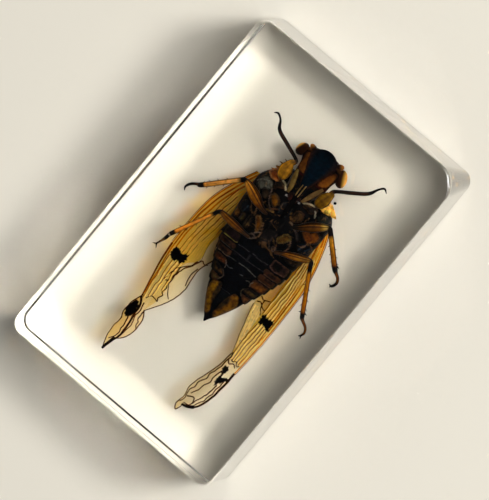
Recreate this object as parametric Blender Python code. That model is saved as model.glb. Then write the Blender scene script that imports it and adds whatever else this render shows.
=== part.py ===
"""A cicada lying belly up in a clear block of resin, which is parted in two round it.

Metres, +Z up. The block stands on the XY plane with its middle over the origin and its long
side along Y. The insect is one solid: its body, legs and wings are joined where they grow.
"""
import math

import bmesh
import bpy
from mathutils import Matrix, Vector

MM = 0.001

# Resin block
BLOCK_WIDTH = 48.4 * MM
BLOCK_LENGTH = 75.0 * MM
BLOCK_HEIGHT = 18.0 * MM
CORNER_RADIUS = 2.5 * MM       # the four upright edges
CORNER_STEPS = 4
RIM_RADIUS = 1.2 * MM          # the edges round the top and bottom faces
RIM_STEPS = 3
PARTING_HEIGHT = 9.15 * MM     # where the block is parted
PARTING_GAP = 0.3 * MM
POCKET_CLEARANCE = 0.6         # millimetres, round the insect

# The insect's own frame, in millimetres: u to the right, v to the head, z up as in the block.
# It is turned a little in the block, and its middle is not the block's middle.
INSECT_AT = (2.06 * MM, 5.3 * MM, 0.0)
INSECT_TURN = math.radians(2.1)
BODY_MIDDLE = 8.6              # height of the body's widest line

# Thorax stations: v, half width, height of the belly over the widest line, depth of the back
THORAX = (
    (13.2, 3.5, 3.0, 2.6), (12.3, 5.9, 3.3, 3.6), (10.3, 7.5, 3.7, 4.3), (8.6, 8.5, 3.9, 4.7),
    (6.0, 8.4, 4.1, 4.9), (1.0, 8.1, 4.1, 4.9), (-1.6, 7.8, 3.7, 4.8),
)
# Abdomen: v and half width at the rear edge of each ring plate, and how far the edge stands out
ABDOMEN = ((-3.0, 7.75), (-4.4, 7.55), (-5.8, 7.1), (-7.3, 6.55), (-9.0, 5.9), (-11.0, 4.85), (-12.9, 3.95))
PLATE_STEP = 0.22
PLATE_LIP = 0.12
ABDOMEN_BELLY = 0.47           # belly height as a share of the half width
ABDOMEN_BACK = 0.58
# The last plate, which narrows to the tip: v, half width
TAIL = ((-15.3, 2.7), (-17.9, 1.15), (-18.6, 0.6), (-19.5, 0.1))
TAIL_DEPTH = 0.8               # belly and back as a share of the half width
BODY_SQUARENESS = 0.86         # below 1, the body's section is fuller than an ellipse

# Balls: middle (u, v, z) and half sizes. Those with a u over 0 are there on both sides
HEAD = ((0.0, 15.9, 9.3), (4.4, 3.1, 3.5))
FACE = ((0.0, 16.2, 10.7), (2.4, 3.45, 2.8))
BROW = ((2.9, 17.7, 10.0), (1.7, 1.0, 1.3))
EYE = ((4.35, 17.0, 9.2), (1.5, 1.6, 1.7))
CHEEK = ((3.0, 14.6, 10.9), (1.3, 1.7, 1.5))
FRONT_HIP = ((3.0, 9.0, 12.1), (1.7, 1.2, 1.2))
MIDDLE_HIP = ((2.7, 7.1, 12.2), (1.1, 1.5, 1.2))
REAR_HIP = ((2.85, 1.5, 12.2), (1.1, 1.6, 1.2))
SIDE_PLATE = ((6.2, 4.4, 11.3), (1.8, 2.2, 1.0))

# Tapered rods, as u, v, z and radius: the beak along the breast, the egg-laying tube under the tail
BEAK = ((0.0, 13.6, 11.6, 0.9), (0.0, 10.5, 12.6, 0.6), (0.0, 4.6, 13.0, 0.35))
EGG_TUBE = ((0.3, -11.6, 10.3, 0.6), (0.1, -17.9, 9.2, 0.55), (0.0, -19.9, 8.6, 0.12))
# Legs: u, v, z and radius along thigh, shin and foot, to the claw
LEGS = {
    "front_left": (
        (-3.3, 9.3, 11.8, 0.8), (-3.8, 11.6, 12.8, 1.0), (-4.2, 13.9, 12.6, 0.8), (-4.4, 14.9, 12.4, 0.36),
        (-10.1, 17.3, 11.0, 0.36), (-11.2, 18.9, 10.6, 0.2), (-12.3, 19.6, 10.4, 0.2), (-13.0, 19.2, 10.2, 0.1),
    ),
    "front_right": (
        (3.0, 9.3, 11.8, 0.8), (3.7, 11.6, 12.8, 1.0), (4.6, 13.8, 12.6, 0.8), (5.1, 14.7, 12.4, 0.36),
        (10.0, 18.1, 11.0, 0.36), (11.0, 19.8, 10.6, 0.2), (11.8, 20.6, 10.4, 0.2), (12.6, 20.1, 10.2, 0.1),
    ),
    "middle_left": (
        (-1.9, 5.0, 12.0, 0.6), (-3.7, 4.2, 13.0, 0.6), (-6.6, 5.1, 13.3, 0.85), (-9.4, 5.9, 12.7, 0.5),
        (-15.2, 0.6, 10.5, 0.4), (-16.1, 0.2, 10.3, 0.3), (-17.3, -0.8, 9.9, 0.2), (-17.8, -1.8, 9.7, 0.2),
        (-17.5, -2.5, 9.6, 0.1),
    ),
    "middle_right": (
        (1.7, 4.5, 12.0, 0.6), (3.0, 4.9, 13.0, 0.6), (5.7, 6.9, 13.3, 0.85), (8.3, 8.8, 12.7, 0.5),
        (13.7, 3.2, 10.5, 0.4), (14.7, 2.6, 10.3, 0.3), (15.3, 1.5, 9.9, 0.2), (14.6, 0.2, 9.7, 0.1),
    ),
    "rear_left": (
        (-1.7, -1.6, 11.6, 0.6), (-3.5, -1.5, 12.7, 0.55), (-6.5, -1.4, 12.8, 0.7), (-9.6, -1.3, 12.2, 0.48),
        (-10.6, -2.7, 11.8, 0.4), (-14.5, -10.4, 9.8, 0.4), (-15.1, -12.0, 9.4, 0.22), (-15.6, -13.5, 9.1, 0.2),
        (-15.8, -14.2, 9.0, 0.1),
    ),
    "rear_right": (
        (2.0, -1.2, 11.6, 0.6), (3.4, -0.5, 12.7, 0.55), (6.3, 0.6, 12.8, 0.7), (9.3, 1.7, 12.2, 0.48),
        (10.1, 0.2, 11.8, 0.4), (14.0, -7.5, 9.8, 0.4), (14.8, -8.1, 9.6, 0.3), (15.6, -8.9, 9.3, 0.2),
        (16.2, -10.0, 9.1, 0.2), (16.0, -10.7, 9.0, 0.1),
    ),
}
# Spines on the thick front thighs: root u, v, z on the left side, and the spine's tip
SPINES = (((-4.3, 12.0, 12.7), (-5.9, 11.5, 12.9)), ((-4.5, 13.2, 12.6), (-5.9, 13.4, 12.7)))
SPINE_RADIUS = 0.28

# Wings, folded like a roof: v, then u at the thick front edge and u at the hind edge
LEFT_WING = (
    (8.6, -8.9, -6.6), (5.3, -10.7, -5.8), (1.3, -12.0, -5.5), (-2.1, -12.8, -5.3), (-5.4, -13.3, -5.2),
    (-9.5, -13.55, -5.6), (-11.4, -13.55, -6.8), (-13.0, -13.5, -6.5), (-16.0, -13.15, -6.5),
    (-19.0, -12.7, -7.1), (-21.9, -12.35, -8.2), (-24.7, -12.9, -9.9), (-26.3, -13.0, -9.3),
    (-28.0, -12.9, -9.1), (-30.3, -12.6, -9.5), (-33.0, -12.6, -11.1), (-35.3, -12.05, -11.8),
)
RIGHT_WING = (
    (8.0, 8.5, 6.6), (5.9, 9.3, 5.8), (2.6, 10.1, 5.5), (-0.8, 10.8, 5.3), (-4.8, 11.2, 5.2),
    (-8.9, 11.3, 5.2), (-11.6, 11.3, 5.1), (-15.0, 11.2, 6.2), (-18.0, 11.0, 7.1), (-20.9, 10.6, 7.8),
    (-22.7, 10.5, 7.5), (-25.0, 10.3, 6.9), (-27.4, 9.95, 6.2), (-29.4, 9.7, 5.6), (-31.1, 9.4, 5.2),
    (-33.2, 8.7, 5.25), (-35.1, 6.5, 5.25), (-35.7, 5.9, 5.5),
)
WING_FRONT_HEIGHT = 8.3
WING_SLOPE = 0.42              # how much lower the wing lies for each millimetre inwards
# Across the wing: share of the way inwards, and thickness. The thick lines are the main veins
WING_RIBS = ((0.0, 0.75), (0.1, 0.35), (0.3, 0.6), (0.42, 0.3), (0.62, 0.5), (0.8, 0.3), (1.0, 0.35))

SMOOTH_ANGLE = math.radians(35.0)
RESIN_COLOR = (0.93, 0.93, 0.88, 1.0)
INSECT_COLOR = (0.09, 0.045, 0.02, 1.0)


def clear_scene():
    for item in list(bpy.data.objects):
        bpy.data.objects.remove(item)


def make_material(name, color, roughness, transmission=0.0):
    material = bpy.data.materials.new(name)
    material.use_nodes = True
    shader = material.node_tree.nodes["Principled BSDF"]
    shader.inputs["Base Color"].default_value = color
    shader.inputs["Roughness"].default_value = roughness
    shader.inputs["Metallic"].default_value = 0.0
    shader.inputs["Transmission Weight"].default_value = transmission
    shader.inputs["IOR"].default_value = 1.5
    return material


def add_object(name, mesh_builder, collection=None):
    """Turns a bmesh into an object of that name, in the scene or in a collection."""
    bmesh.ops.recalc_face_normals(mesh_builder, faces=mesh_builder.faces)
    mesh = bpy.data.meshes.new(name)
    mesh_builder.to_mesh(mesh)
    mesh_builder.free()
    mesh.shade_smooth()
    mesh.set_sharp_from_angle(angle=SMOOTH_ANGLE)
    item = bpy.data.objects.new(name, mesh)
    (collection or bpy.context.scene.collection).objects.link(item)
    return item


def insect_to_block():
    return Matrix.Translation(INSECT_AT) @ Matrix.Rotation(INSECT_TURN, 4, "Z") @ Matrix.Scale(MM, 4)


def add_insect_piece(name, mesh_builder, collection):
    bmesh.ops.transform(mesh_builder, matrix=insect_to_block(), verts=mesh_builder.verts)
    piece = add_object(name, mesh_builder, collection)
    piece.hide_render = True
    piece.display_type = "WIRE"
    return piece


def loft(rings):
    """A closed skin through rings of points, with a flat cap on the first and the last."""
    builder = bmesh.new()
    rows = [[builder.verts.new(point) for point in ring] for ring in rings]
    count = len(rows[0])
    for near, far in zip(rows, rows[1:]):
        for i in range(count):
            j = (i + 1) % count
            builder.faces.new((near[i], near[j], far[j], far[i]))
    builder.faces.new(rows[0])
    builder.faces.new(list(reversed(rows[-1])))
    return builder


def body_ring(v, half_width, belly, back, sides):
    """One cross-section of the body, a full oval with its own belly and back heights."""
    ring = []
    for i in range(sides):
        angle = 2.0 * math.pi * i / sides
        across = math.copysign(abs(math.cos(angle)) ** BODY_SQUARENESS, math.cos(angle))
        upward = math.copysign(abs(math.sin(angle)) ** BODY_SQUARENESS, math.sin(angle))
        height = belly if upward > 0.0 else back
        ring.append((half_width * across, v, BODY_MIDDLE + height * upward))
    return ring


def body(grow, sides):
    """Thorax, stepped abdomen and pointed tail in one skin."""
    rings = []
    for v, half_width, belly, back in THORAX:
        rings.append(body_ring(v, half_width + grow, belly + grow, back + grow, sides))
    for v, half_width in ABDOMEN:
        lips = ((v, half_width), (v - PLATE_LIP, half_width - PLATE_STEP)) if not grow else ((v, half_width),)
        for edge, half in lips:
            belly, back = half * ABDOMEN_BELLY, half * ABDOMEN_BACK
            rings.append(body_ring(edge, half + grow, belly + grow, back + grow, sides))
    for v, half_width in TAIL:
        depth = half_width * TAIL_DEPTH
        rings.append(body_ring(v, half_width + grow, depth + grow, depth + grow, sides))
    if grow:
        rings.append(body_ring(TAIL[-1][0] - grow, grow, grow, grow, sides))
    return loft(rings)


def ball(middle, half_sizes, grow, segments):
    builder = bmesh.new()
    bmesh.ops.create_uvsphere(builder, u_segments=segments, v_segments=segments * 2 // 3, radius=1.0)
    size = Vector(half_sizes) + Vector((grow, grow, grow))
    place = Matrix.Translation(middle) @ Matrix.Diagonal((*size, 1.0))
    bmesh.ops.transform(builder, matrix=place, verts=builder.verts)
    return builder


def rod(stations, grow, sides):
    """A jointed rod through u, v, z points, each with its own radius."""
    points = [Vector(station[:3]) for station in stations]
    radii = [station[3] + grow for station in stations]
    rings = []
    for i, point in enumerate(points):
        ahead = (points[min(i + 1, len(points) - 1)] - point).normalized()
        behind = (point - points[max(i - 1, 0)]).normalized()
        along = (ahead + behind).normalized()
        side = along.cross(Vector((0.0, 0.0, 1.0))).normalized()
        upright = side.cross(along)
        spot = point
        if i == 0:
            spot = point - along * grow
        if i == len(points) - 1:
            spot = point + along * grow
        turns = [2.0 * math.pi * (k + 0.5) / sides for k in range(sides)]
        rings.append([spot + (side * math.cos(a) + upright * math.sin(a)) * radii[i] for a in turns])
    return loft(rings)


def spine(root, tip, grow):
    return rod(((*root, SPINE_RADIUS), (*tip, 0.06)), grow, 4)


def wing(stations, grow):
    """A thin sloping sheet with raised veins along it, its front edge thickest."""
    side = math.copysign(1.0, stations[0][1])
    ribs = WING_RIBS if not grow else (WING_RIBS[0], WING_RIBS[2], WING_RIBS[4], WING_RIBS[-1])
    rings = []
    for i, (v, front, hind) in enumerate(stations):
        front += side * grow
        hind -= side * grow
        v += grow if i == 0 else -grow if i == len(stations) - 1 else 0.0
        upper, lower = [], []
        for share, thickness in ribs:
            u = front + (hind - front) * share
            height = WING_FRONT_HEIGHT - WING_SLOPE * abs(u - front)
            half = thickness / 2.0 + grow
            upper.append((u, v, height + half))
            lower.append((u, v, height - half))
        rings.append(upper + lower[::-1])
    return loft(rings)


def both_sides(shape):
    (u, v, z), half_sizes = shape
    return (((u, v, z), half_sizes), ((-u, v, z), half_sizes))


def insect_pieces(label, grow, coarse):
    """Every piece of the insect, grown outwards by some millimetres, in a collection."""
    collection = bpy.data.collections.new(label)
    bpy.context.scene.collection.children.link(collection)
    body_sides, ball_segments, rod_sides = (14, 9, 5) if coarse else (20, 12, 6)

    def add(name, builder):
        return add_insect_piece(label + "_" + name, builder, collection)

    add("body", body(grow, body_sides))
    add("head", ball(*HEAD, grow, ball_segments + 3))
    add("face", ball(*FACE, grow, ball_segments + 3))
    paired = (("eye", EYE), ("brow", BROW), ("cheek", CHEEK), ("front_hip", FRONT_HIP),
              ("middle_hip", MIDDLE_HIP), ("rear_hip", REAR_HIP), ("side_plate", SIDE_PLATE))
    for name, shape in paired:
        for middle, half_sizes in both_sides(shape):
            hand = "right" if middle[0] > 0.0 else "left"
            segments = ball_segments if name == "eye" else 9
            add(name + "_" + hand, ball(middle, half_sizes, grow, segments))
    add("beak", rod(BEAK, grow, rod_sides))
    add("egg_tube", rod(EGG_TUBE, grow, rod_sides))
    for name, stations in LEGS.items():
        add("leg_" + name, rod(stations, grow, rod_sides))
    for number, (root, tip) in enumerate(SPINES):
        for hand, side in (("left", 1.0), ("right", -1.0)):
            ends = [(side * u, v, z) for u, v, z in (root, tip)]
            add("spine_%d_%s" % (number, hand), spine(*ends, grow))
    add("wing_left", wing(LEFT_WING, grow))
    add("wing_right", wing(RIGHT_WING, grow))
    return collection


def combine(item, operation, collection):
    modifier = item.modifiers.new(operation.lower(), "BOOLEAN")
    modifier.operation = operation
    modifier.operand_type = "COLLECTION"
    modifier.collection = collection
    modifier.solver = "EXACT"


def make_cicada(material):
    """One solid: the other pieces are joined to the body."""
    pieces = insect_pieces("insect", 0.0, False)
    trunk = pieces.objects["insect_body"]
    pieces.objects.unlink(trunk)
    bpy.context.scene.collection.objects.link(trunk)
    trunk.name = "cicada"
    trunk.hide_render = False
    trunk.display_type = "TEXTURED"
    combine(trunk, "UNION", pieces)
    trunk.data.materials.append(material)
    return trunk


def block_half(name, bottom, top, rounded_bottom, material, pocket):
    """A rounded slab of the block from one height to another, hollowed by the pocket."""
    builder = bmesh.new()
    bmesh.ops.create_cube(builder, size=1.0)
    size = Matrix.Diagonal((BLOCK_WIDTH, BLOCK_LENGTH, top - bottom, 1.0))
    place = Matrix.Translation((0.0, 0.0, (top + bottom) / 2.0))
    bmesh.ops.transform(builder, matrix=place @ size, verts=builder.verts)
    upright = [e for e in builder.edges if abs(e.verts[0].co.z - e.verts[1].co.z) > MM]
    bmesh.ops.bevel(builder, geom=upright, offset=CORNER_RADIUS, segments=CORNER_STEPS, profile=0.5,
                    affect="EDGES")
    outer_face = bottom if rounded_bottom else top
    rim = [e for e in builder.edges if all(abs(v.co.z - outer_face) < 0.01 * MM for v in e.verts)]
    bmesh.ops.bevel(builder, geom=rim, offset=RIM_RADIUS, segments=RIM_STEPS, profile=0.5, affect="EDGES")
    half = add_object(name, builder)
    half.data.materials.append(material)
    combine(half, "DIFFERENCE", pocket)
    return half


def make_resin(material):
    pocket = insect_pieces("pocket", POCKET_CLEARANCE, True)
    block_half("resin_lower", 0.0, PARTING_HEIGHT - PARTING_GAP / 2.0, True, material, pocket)
    block_half("resin_upper", PARTING_HEIGHT + PARTING_GAP / 2.0, BLOCK_HEIGHT, False, material, pocket)


def main():
    clear_scene()
    make_cicada(make_material("chitin", INSECT_COLOR, 0.4))
    make_resin(make_material("clear_resin", RESIN_COLOR, 0.03, transmission=1.0))


main()
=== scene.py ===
"""Looks of a cicada lying belly up in a block of clear resin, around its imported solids.

Metres, +Z up, in the frame of the solids. The insect's own tables are in millimetres: u to the
right, v towards the head and z up, as one sees it from above.
"""

import math

import bmesh
import bpy
import numpy as np
from mathutils import Euler, Matrix, Vector


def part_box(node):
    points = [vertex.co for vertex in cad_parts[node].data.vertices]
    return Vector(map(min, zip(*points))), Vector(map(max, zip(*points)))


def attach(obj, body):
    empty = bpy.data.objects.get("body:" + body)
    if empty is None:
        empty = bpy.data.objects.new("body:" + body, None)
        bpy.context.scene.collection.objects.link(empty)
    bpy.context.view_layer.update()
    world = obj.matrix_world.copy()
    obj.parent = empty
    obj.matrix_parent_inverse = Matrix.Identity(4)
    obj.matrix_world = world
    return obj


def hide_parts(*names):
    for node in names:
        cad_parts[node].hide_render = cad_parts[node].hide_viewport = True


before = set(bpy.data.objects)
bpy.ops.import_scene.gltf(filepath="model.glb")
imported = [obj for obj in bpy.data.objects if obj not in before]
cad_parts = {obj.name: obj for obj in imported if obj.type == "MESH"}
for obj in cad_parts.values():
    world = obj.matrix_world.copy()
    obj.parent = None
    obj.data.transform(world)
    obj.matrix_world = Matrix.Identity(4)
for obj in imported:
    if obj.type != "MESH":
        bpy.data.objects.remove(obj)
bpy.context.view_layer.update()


# Camera. A phone held nearly straight above the block, turned so that the block lies across the
# picture from lower left to upper right.
CAMERA_AT = (0.07375, 0.11456, 0.95221)
CAMERA_TURN = (-0.120, 0.078, 0.690)
# the focal length is in pixels of a picture this high
PICTURE_HEIGHT = 500
FOCAL_PIXELS = 5137.2
SENSOR_WIDTH = 36.0


def placed(name, data):
    """A new object of the scene."""
    item = bpy.data.objects.new(name, data)
    bpy.context.scene.collection.objects.link(item)
    return item


camera = placed("camera", bpy.data.cameras.new("camera"))
bpy.context.scene.camera = camera
camera.data.sensor_width = SENSOR_WIDTH
camera.data.lens = FOCAL_PIXELS / PICTURE_HEIGHT * SENSOR_WIDTH
camera.data.clip_start = 0.01
camera.matrix_world = Matrix.Translation(CAMERA_AT) @ Euler(CAMERA_TURN, "ZXY").to_matrix().to_4x4()


# Paper and light. The block lies on a sheet of cream paper with a breath of air under it, so
# light that comes in by a side wall doesn't leave by the base. One broad window, and a pale room
# that is dark right overhead, where the phone is held.
AIR_UNDER_BLOCK = 0.00005
PAPER_HALF = 2.0
PAPER_COLOR = (0.785, 0.74, 0.635, 1.0)
WINDOW_BEARING = math.radians(45.0)
WINDOW_AWAY = 1.3
# the window's lower and upper panes: how high they stand, their side and their power
PANES = (
    ("lower_pane", math.radians(43.5), 0.30, 10.0),
    ("upper_pane", math.radians(62.5), 0.64, 8.4),
)
ROOM_LIGHT = 0.22
DARK_OVERHEAD = 0.02
# sine of the height where the room begins to darken, and where it is darkest
DARK_FROM = 0.90
DARKEST_FROM = 0.97


def shader_of(material):
    """The one shader of a new material."""
    material.use_nodes = True
    return material.node_tree.nodes["Principled BSDF"]


def stretched(tree, value, low, high, to_low=0.0, to_high=1.0):
    """A node that moves a value from one range to another and holds it at the ends."""
    spread = tree.nodes.new("ShaderNodeMapRange")
    spread.inputs["From Min"].default_value = low
    spread.inputs["From Max"].default_value = high
    spread.inputs["To Min"].default_value = to_low
    spread.inputs["To Max"].default_value = to_high
    tree.links.new(value, spread.inputs["Value"])
    return spread


paper_mesh = bpy.data.meshes.new("paper")
paper_mesh.from_pydata(
    [(x * PAPER_HALF, y * PAPER_HALF, -AIR_UNDER_BLOCK) for x, y in ((-1, -1), (1, -1), (1, 1), (-1, 1))],
    [], [(0, 1, 2, 3)])
paper = placed("paper", paper_mesh)
paper_finish = bpy.data.materials.new("cream_paper")
shader = shader_of(paper_finish)
shader.inputs["Base Color"].default_value = PAPER_COLOR
shader.inputs["Roughness"].default_value = 0.9
shader.inputs["Specular IOR Level"].default_value = 0.1
paper_mesh.materials.append(paper_finish)

for name, height, side, power in PANES:
    pane = placed(name, bpy.data.lights.new(name, "AREA"))
    pane.data.shape = "SQUARE"
    pane.data.size = side
    pane.data.energy = power
    towards_pane = Vector((math.cos(WINDOW_BEARING) * math.cos(height),
                           math.sin(WINDOW_BEARING) * math.cos(height), math.sin(height)))
    pane.location = towards_pane * WINDOW_AWAY
    pane.rotation_euler = towards_pane.to_track_quat("Z", "Y").to_euler()

room = bpy.data.worlds.new("room")
bpy.context.scene.world = room
room.use_nodes = True
nodes, links = room.node_tree.nodes, room.node_tree.links
background = nodes["Background"]
background.inputs["Color"].default_value = (1.0, 1.0, 1.0, 1.0)
direction = nodes.new("ShaderNodeTexCoord")
upright = nodes.new("ShaderNodeSeparateXYZ")
links.new(direction.outputs["Generated"], upright.inputs["Vector"])
overhead = stretched(
    room.node_tree, upright.outputs["Z"], DARK_FROM, DARKEST_FROM, ROOM_LIGHT, DARK_OVERHEAD)
links.new(overhead.outputs["Result"], background.inputs["Strength"])
bpy.context.scene.view_settings.view_transform = "Standard"
# Clear resin throws sharp light, which blurred or capped bounces would dim
bpy.context.scene.cycles.blur_glossy = 0.0
bpy.context.scene.cycles.sample_clamp_indirect = 0.0


# Resin block. One clear casting, ground and polished under a thin coat of lacquer. The walls at +X
# and +Y lean in a little by the top and end in a sharper rim than the two others. It stands here
# for the two halves of the solids, closed up round the insect.
MM = 0.001
# radii of the upright corners, from the one at +X +Y round by the one at -X +Y
BASE_CORNERS = (2.5 * MM, 2.5 * MM, 2.5 * MM, 2.5 * MM)
TOP_CORNERS = (4.5 * MM, 2.5 * MM, 2.5 * MM, 2.5 * MM)
# quarter turns from +X by way of +Y, and the radius of the rim or the base edge there
RIM_RADII = (
    (0.0, 0.4 * MM), (0.5, 1.0 * MM), (1.0, 0.4 * MM), (2.0, 1.0 * MM), (3.0, 1.0 * MM), (4.0, 0.4 * MM),
)
BASE_RADII = ((0.0, 0.5 * MM), (4.0, 0.5 * MM))
LEAN_IN = (0.9 * MM, 0.45 * MM)
CORNER_STEPS = 12
RIM_STEPS = 8
RESIN_IOR = 1.5
LACQUER_IOR = 1.25
# the faint yellow that light takes on in the resin, and how fast, per metre
RESIN_TINT = (0.95, 0.90, 0.77, 1.0)
RESIN_DENSITY = 8.0


def rounded_ring(low, high, height, upwards, corners, radii, slope):
    """A level ring round the block, where its rounded edge has turned by slope from the wall."""
    ring = []
    for corner, (x, y) in enumerate(((high.x, high.y), (low.x, high.y), (low.x, low.y), (high.x, low.y))):
        x += corners[corner] if x == low.x else -corners[corner]
        y += corners[corner] if y == low.y else -corners[corner]
        for step in range(CORNER_STEPS + 1):
            quarters = corner + step / CORNER_STEPS
            bearing = math.radians(90.0 * quarters)
            radius = np.interp(quarters, *zip(*radii))
            out = corners[corner] - radius * (1.0 - math.cos(slope))
            ring.append((x + out * math.cos(bearing), y + out * math.sin(bearing),
                         height + upwards * radius * (1.0 - math.sin(slope))))
    return ring


def rounded_block(low, high):
    """A box with rounded upright corners, a rounded rim on top and a rounded edge at its base."""
    slopes = [math.radians(90.0 * step / RIM_STEPS) for step in range(RIM_STEPS + 1)]
    top_high = high - Vector((*LEAN_IN, 0.0))
    rings = [rounded_ring(low, high, low.z, 1.0, BASE_CORNERS, BASE_RADII, slope) for slope in slopes[::-1]]
    rings += [rounded_ring(low, top_high, high.z, -1.0, TOP_CORNERS, RIM_RADII, slope) for slope in slopes]
    builder = bmesh.new()
    rings = [[builder.verts.new(spot) for spot in ring] for ring in rings]
    for under, over in zip(rings, rings[1:]):
        for k in range(len(under)):
            builder.faces.new((under[k - 1], under[k], over[k], over[k - 1]))
    builder.faces.new(rings[0][::-1])
    builder.faces.new(rings[-1])
    mesh = bpy.data.meshes.new("resin_block")
    builder.to_mesh(mesh)
    builder.free()
    mesh.shade_smooth()
    return mesh


lower_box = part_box("resin_lower")
upper_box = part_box("resin_upper")
resin_block = placed("resin_block", rounded_block(lower_box[0], upper_box[1]))
flat_faces = resin_block.modifiers.new("flat_faces", "WEIGHTED_NORMAL")
flat_faces.keep_sharp = True

resin = bpy.data.materials.new("clear_resin")
shader = shader_of(resin)
shader.inputs["Base Color"].default_value = (1.0, 1.0, 1.0, 1.0)
shader.inputs["Roughness"].default_value = 0.0
shader.inputs["IOR"].default_value = RESIN_IOR
shader.inputs["Transmission Weight"].default_value = 1.0
shader.inputs["Coat Weight"].default_value = 1.0
shader.inputs["Coat Roughness"].default_value = 0.0
shader.inputs["Coat IOR"].default_value = LACQUER_IOR
nodes, links = resin.node_tree.nodes, resin.node_tree.links
depth = nodes.new("ShaderNodeVolumeAbsorption")
depth.inputs["Color"].default_value = RESIN_TINT
depth.inputs["Density"].default_value = RESIN_DENSITY
links.new(depth.outputs["Volume"], nodes["Material Output"].inputs["Volume"])
resin_block.data.materials.append(resin)
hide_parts("resin_upper", "resin_lower")
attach(resin_block, "root")


# Breast. One dark shell of dried cuticle, thin and hard, cut by seams into many small pads: amber
# hip plates on both sides of a black middle, blue-black side plates and orange collar flaps.
INSECT_FRAME = (Matrix.Translation((2.06 * MM, 5.3 * MM, 0.0))
                @ Matrix.Rotation(math.radians(2.1), 4, "Z") @ Matrix.Scale(MM, 4))
BODY_MIDDLE = 8.6
BODY_SQUARENESS = 0.86
BODY_SIDES = 220
# distance from the body's middle height at which marks begin to stand out, and stand out in full
RELIEF_FROM = 0.2
RELIEF_FULL = 1.4
SHARP_FROM = math.radians(50.0)
# v, half width, height of the belly and depth of the back from the widest line
THORAX = (
    (13.2, 3.5, 3.0, 2.6), (12.3, 5.6, 3.3, 3.6), (10.3, 7.3, 3.7, 4.3), (8.6, 8.3, 3.9, 4.7),
    (6.0, 8.4, 4.1, 4.9), (1.0, 8.1, 4.1, 4.9), (-1.6, 7.8, 3.7, 4.8), (-2.2, 7.5, 3.4, 4.4),
)


def dye(red, green, blue):
    """A colour as the eye sees it, 0 to 255, as the share of light that the surface sends back."""
    tones = [tone / 255.0 for tone in (red, green, blue)]
    return tuple(t / 12.92 if t < 0.04045 else ((t + 0.055) / 1.055) ** 2.4 for t in tones)


SOOT = dye(11, 7, 6)
COFFEE = dye(30, 20, 12)
UMBER = dye(50, 30, 14)
RUST = dye(84, 44, 6)
AMBER = dye(100, 60, 8)
ORANGE = dye(255, 190, 74)

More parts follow.
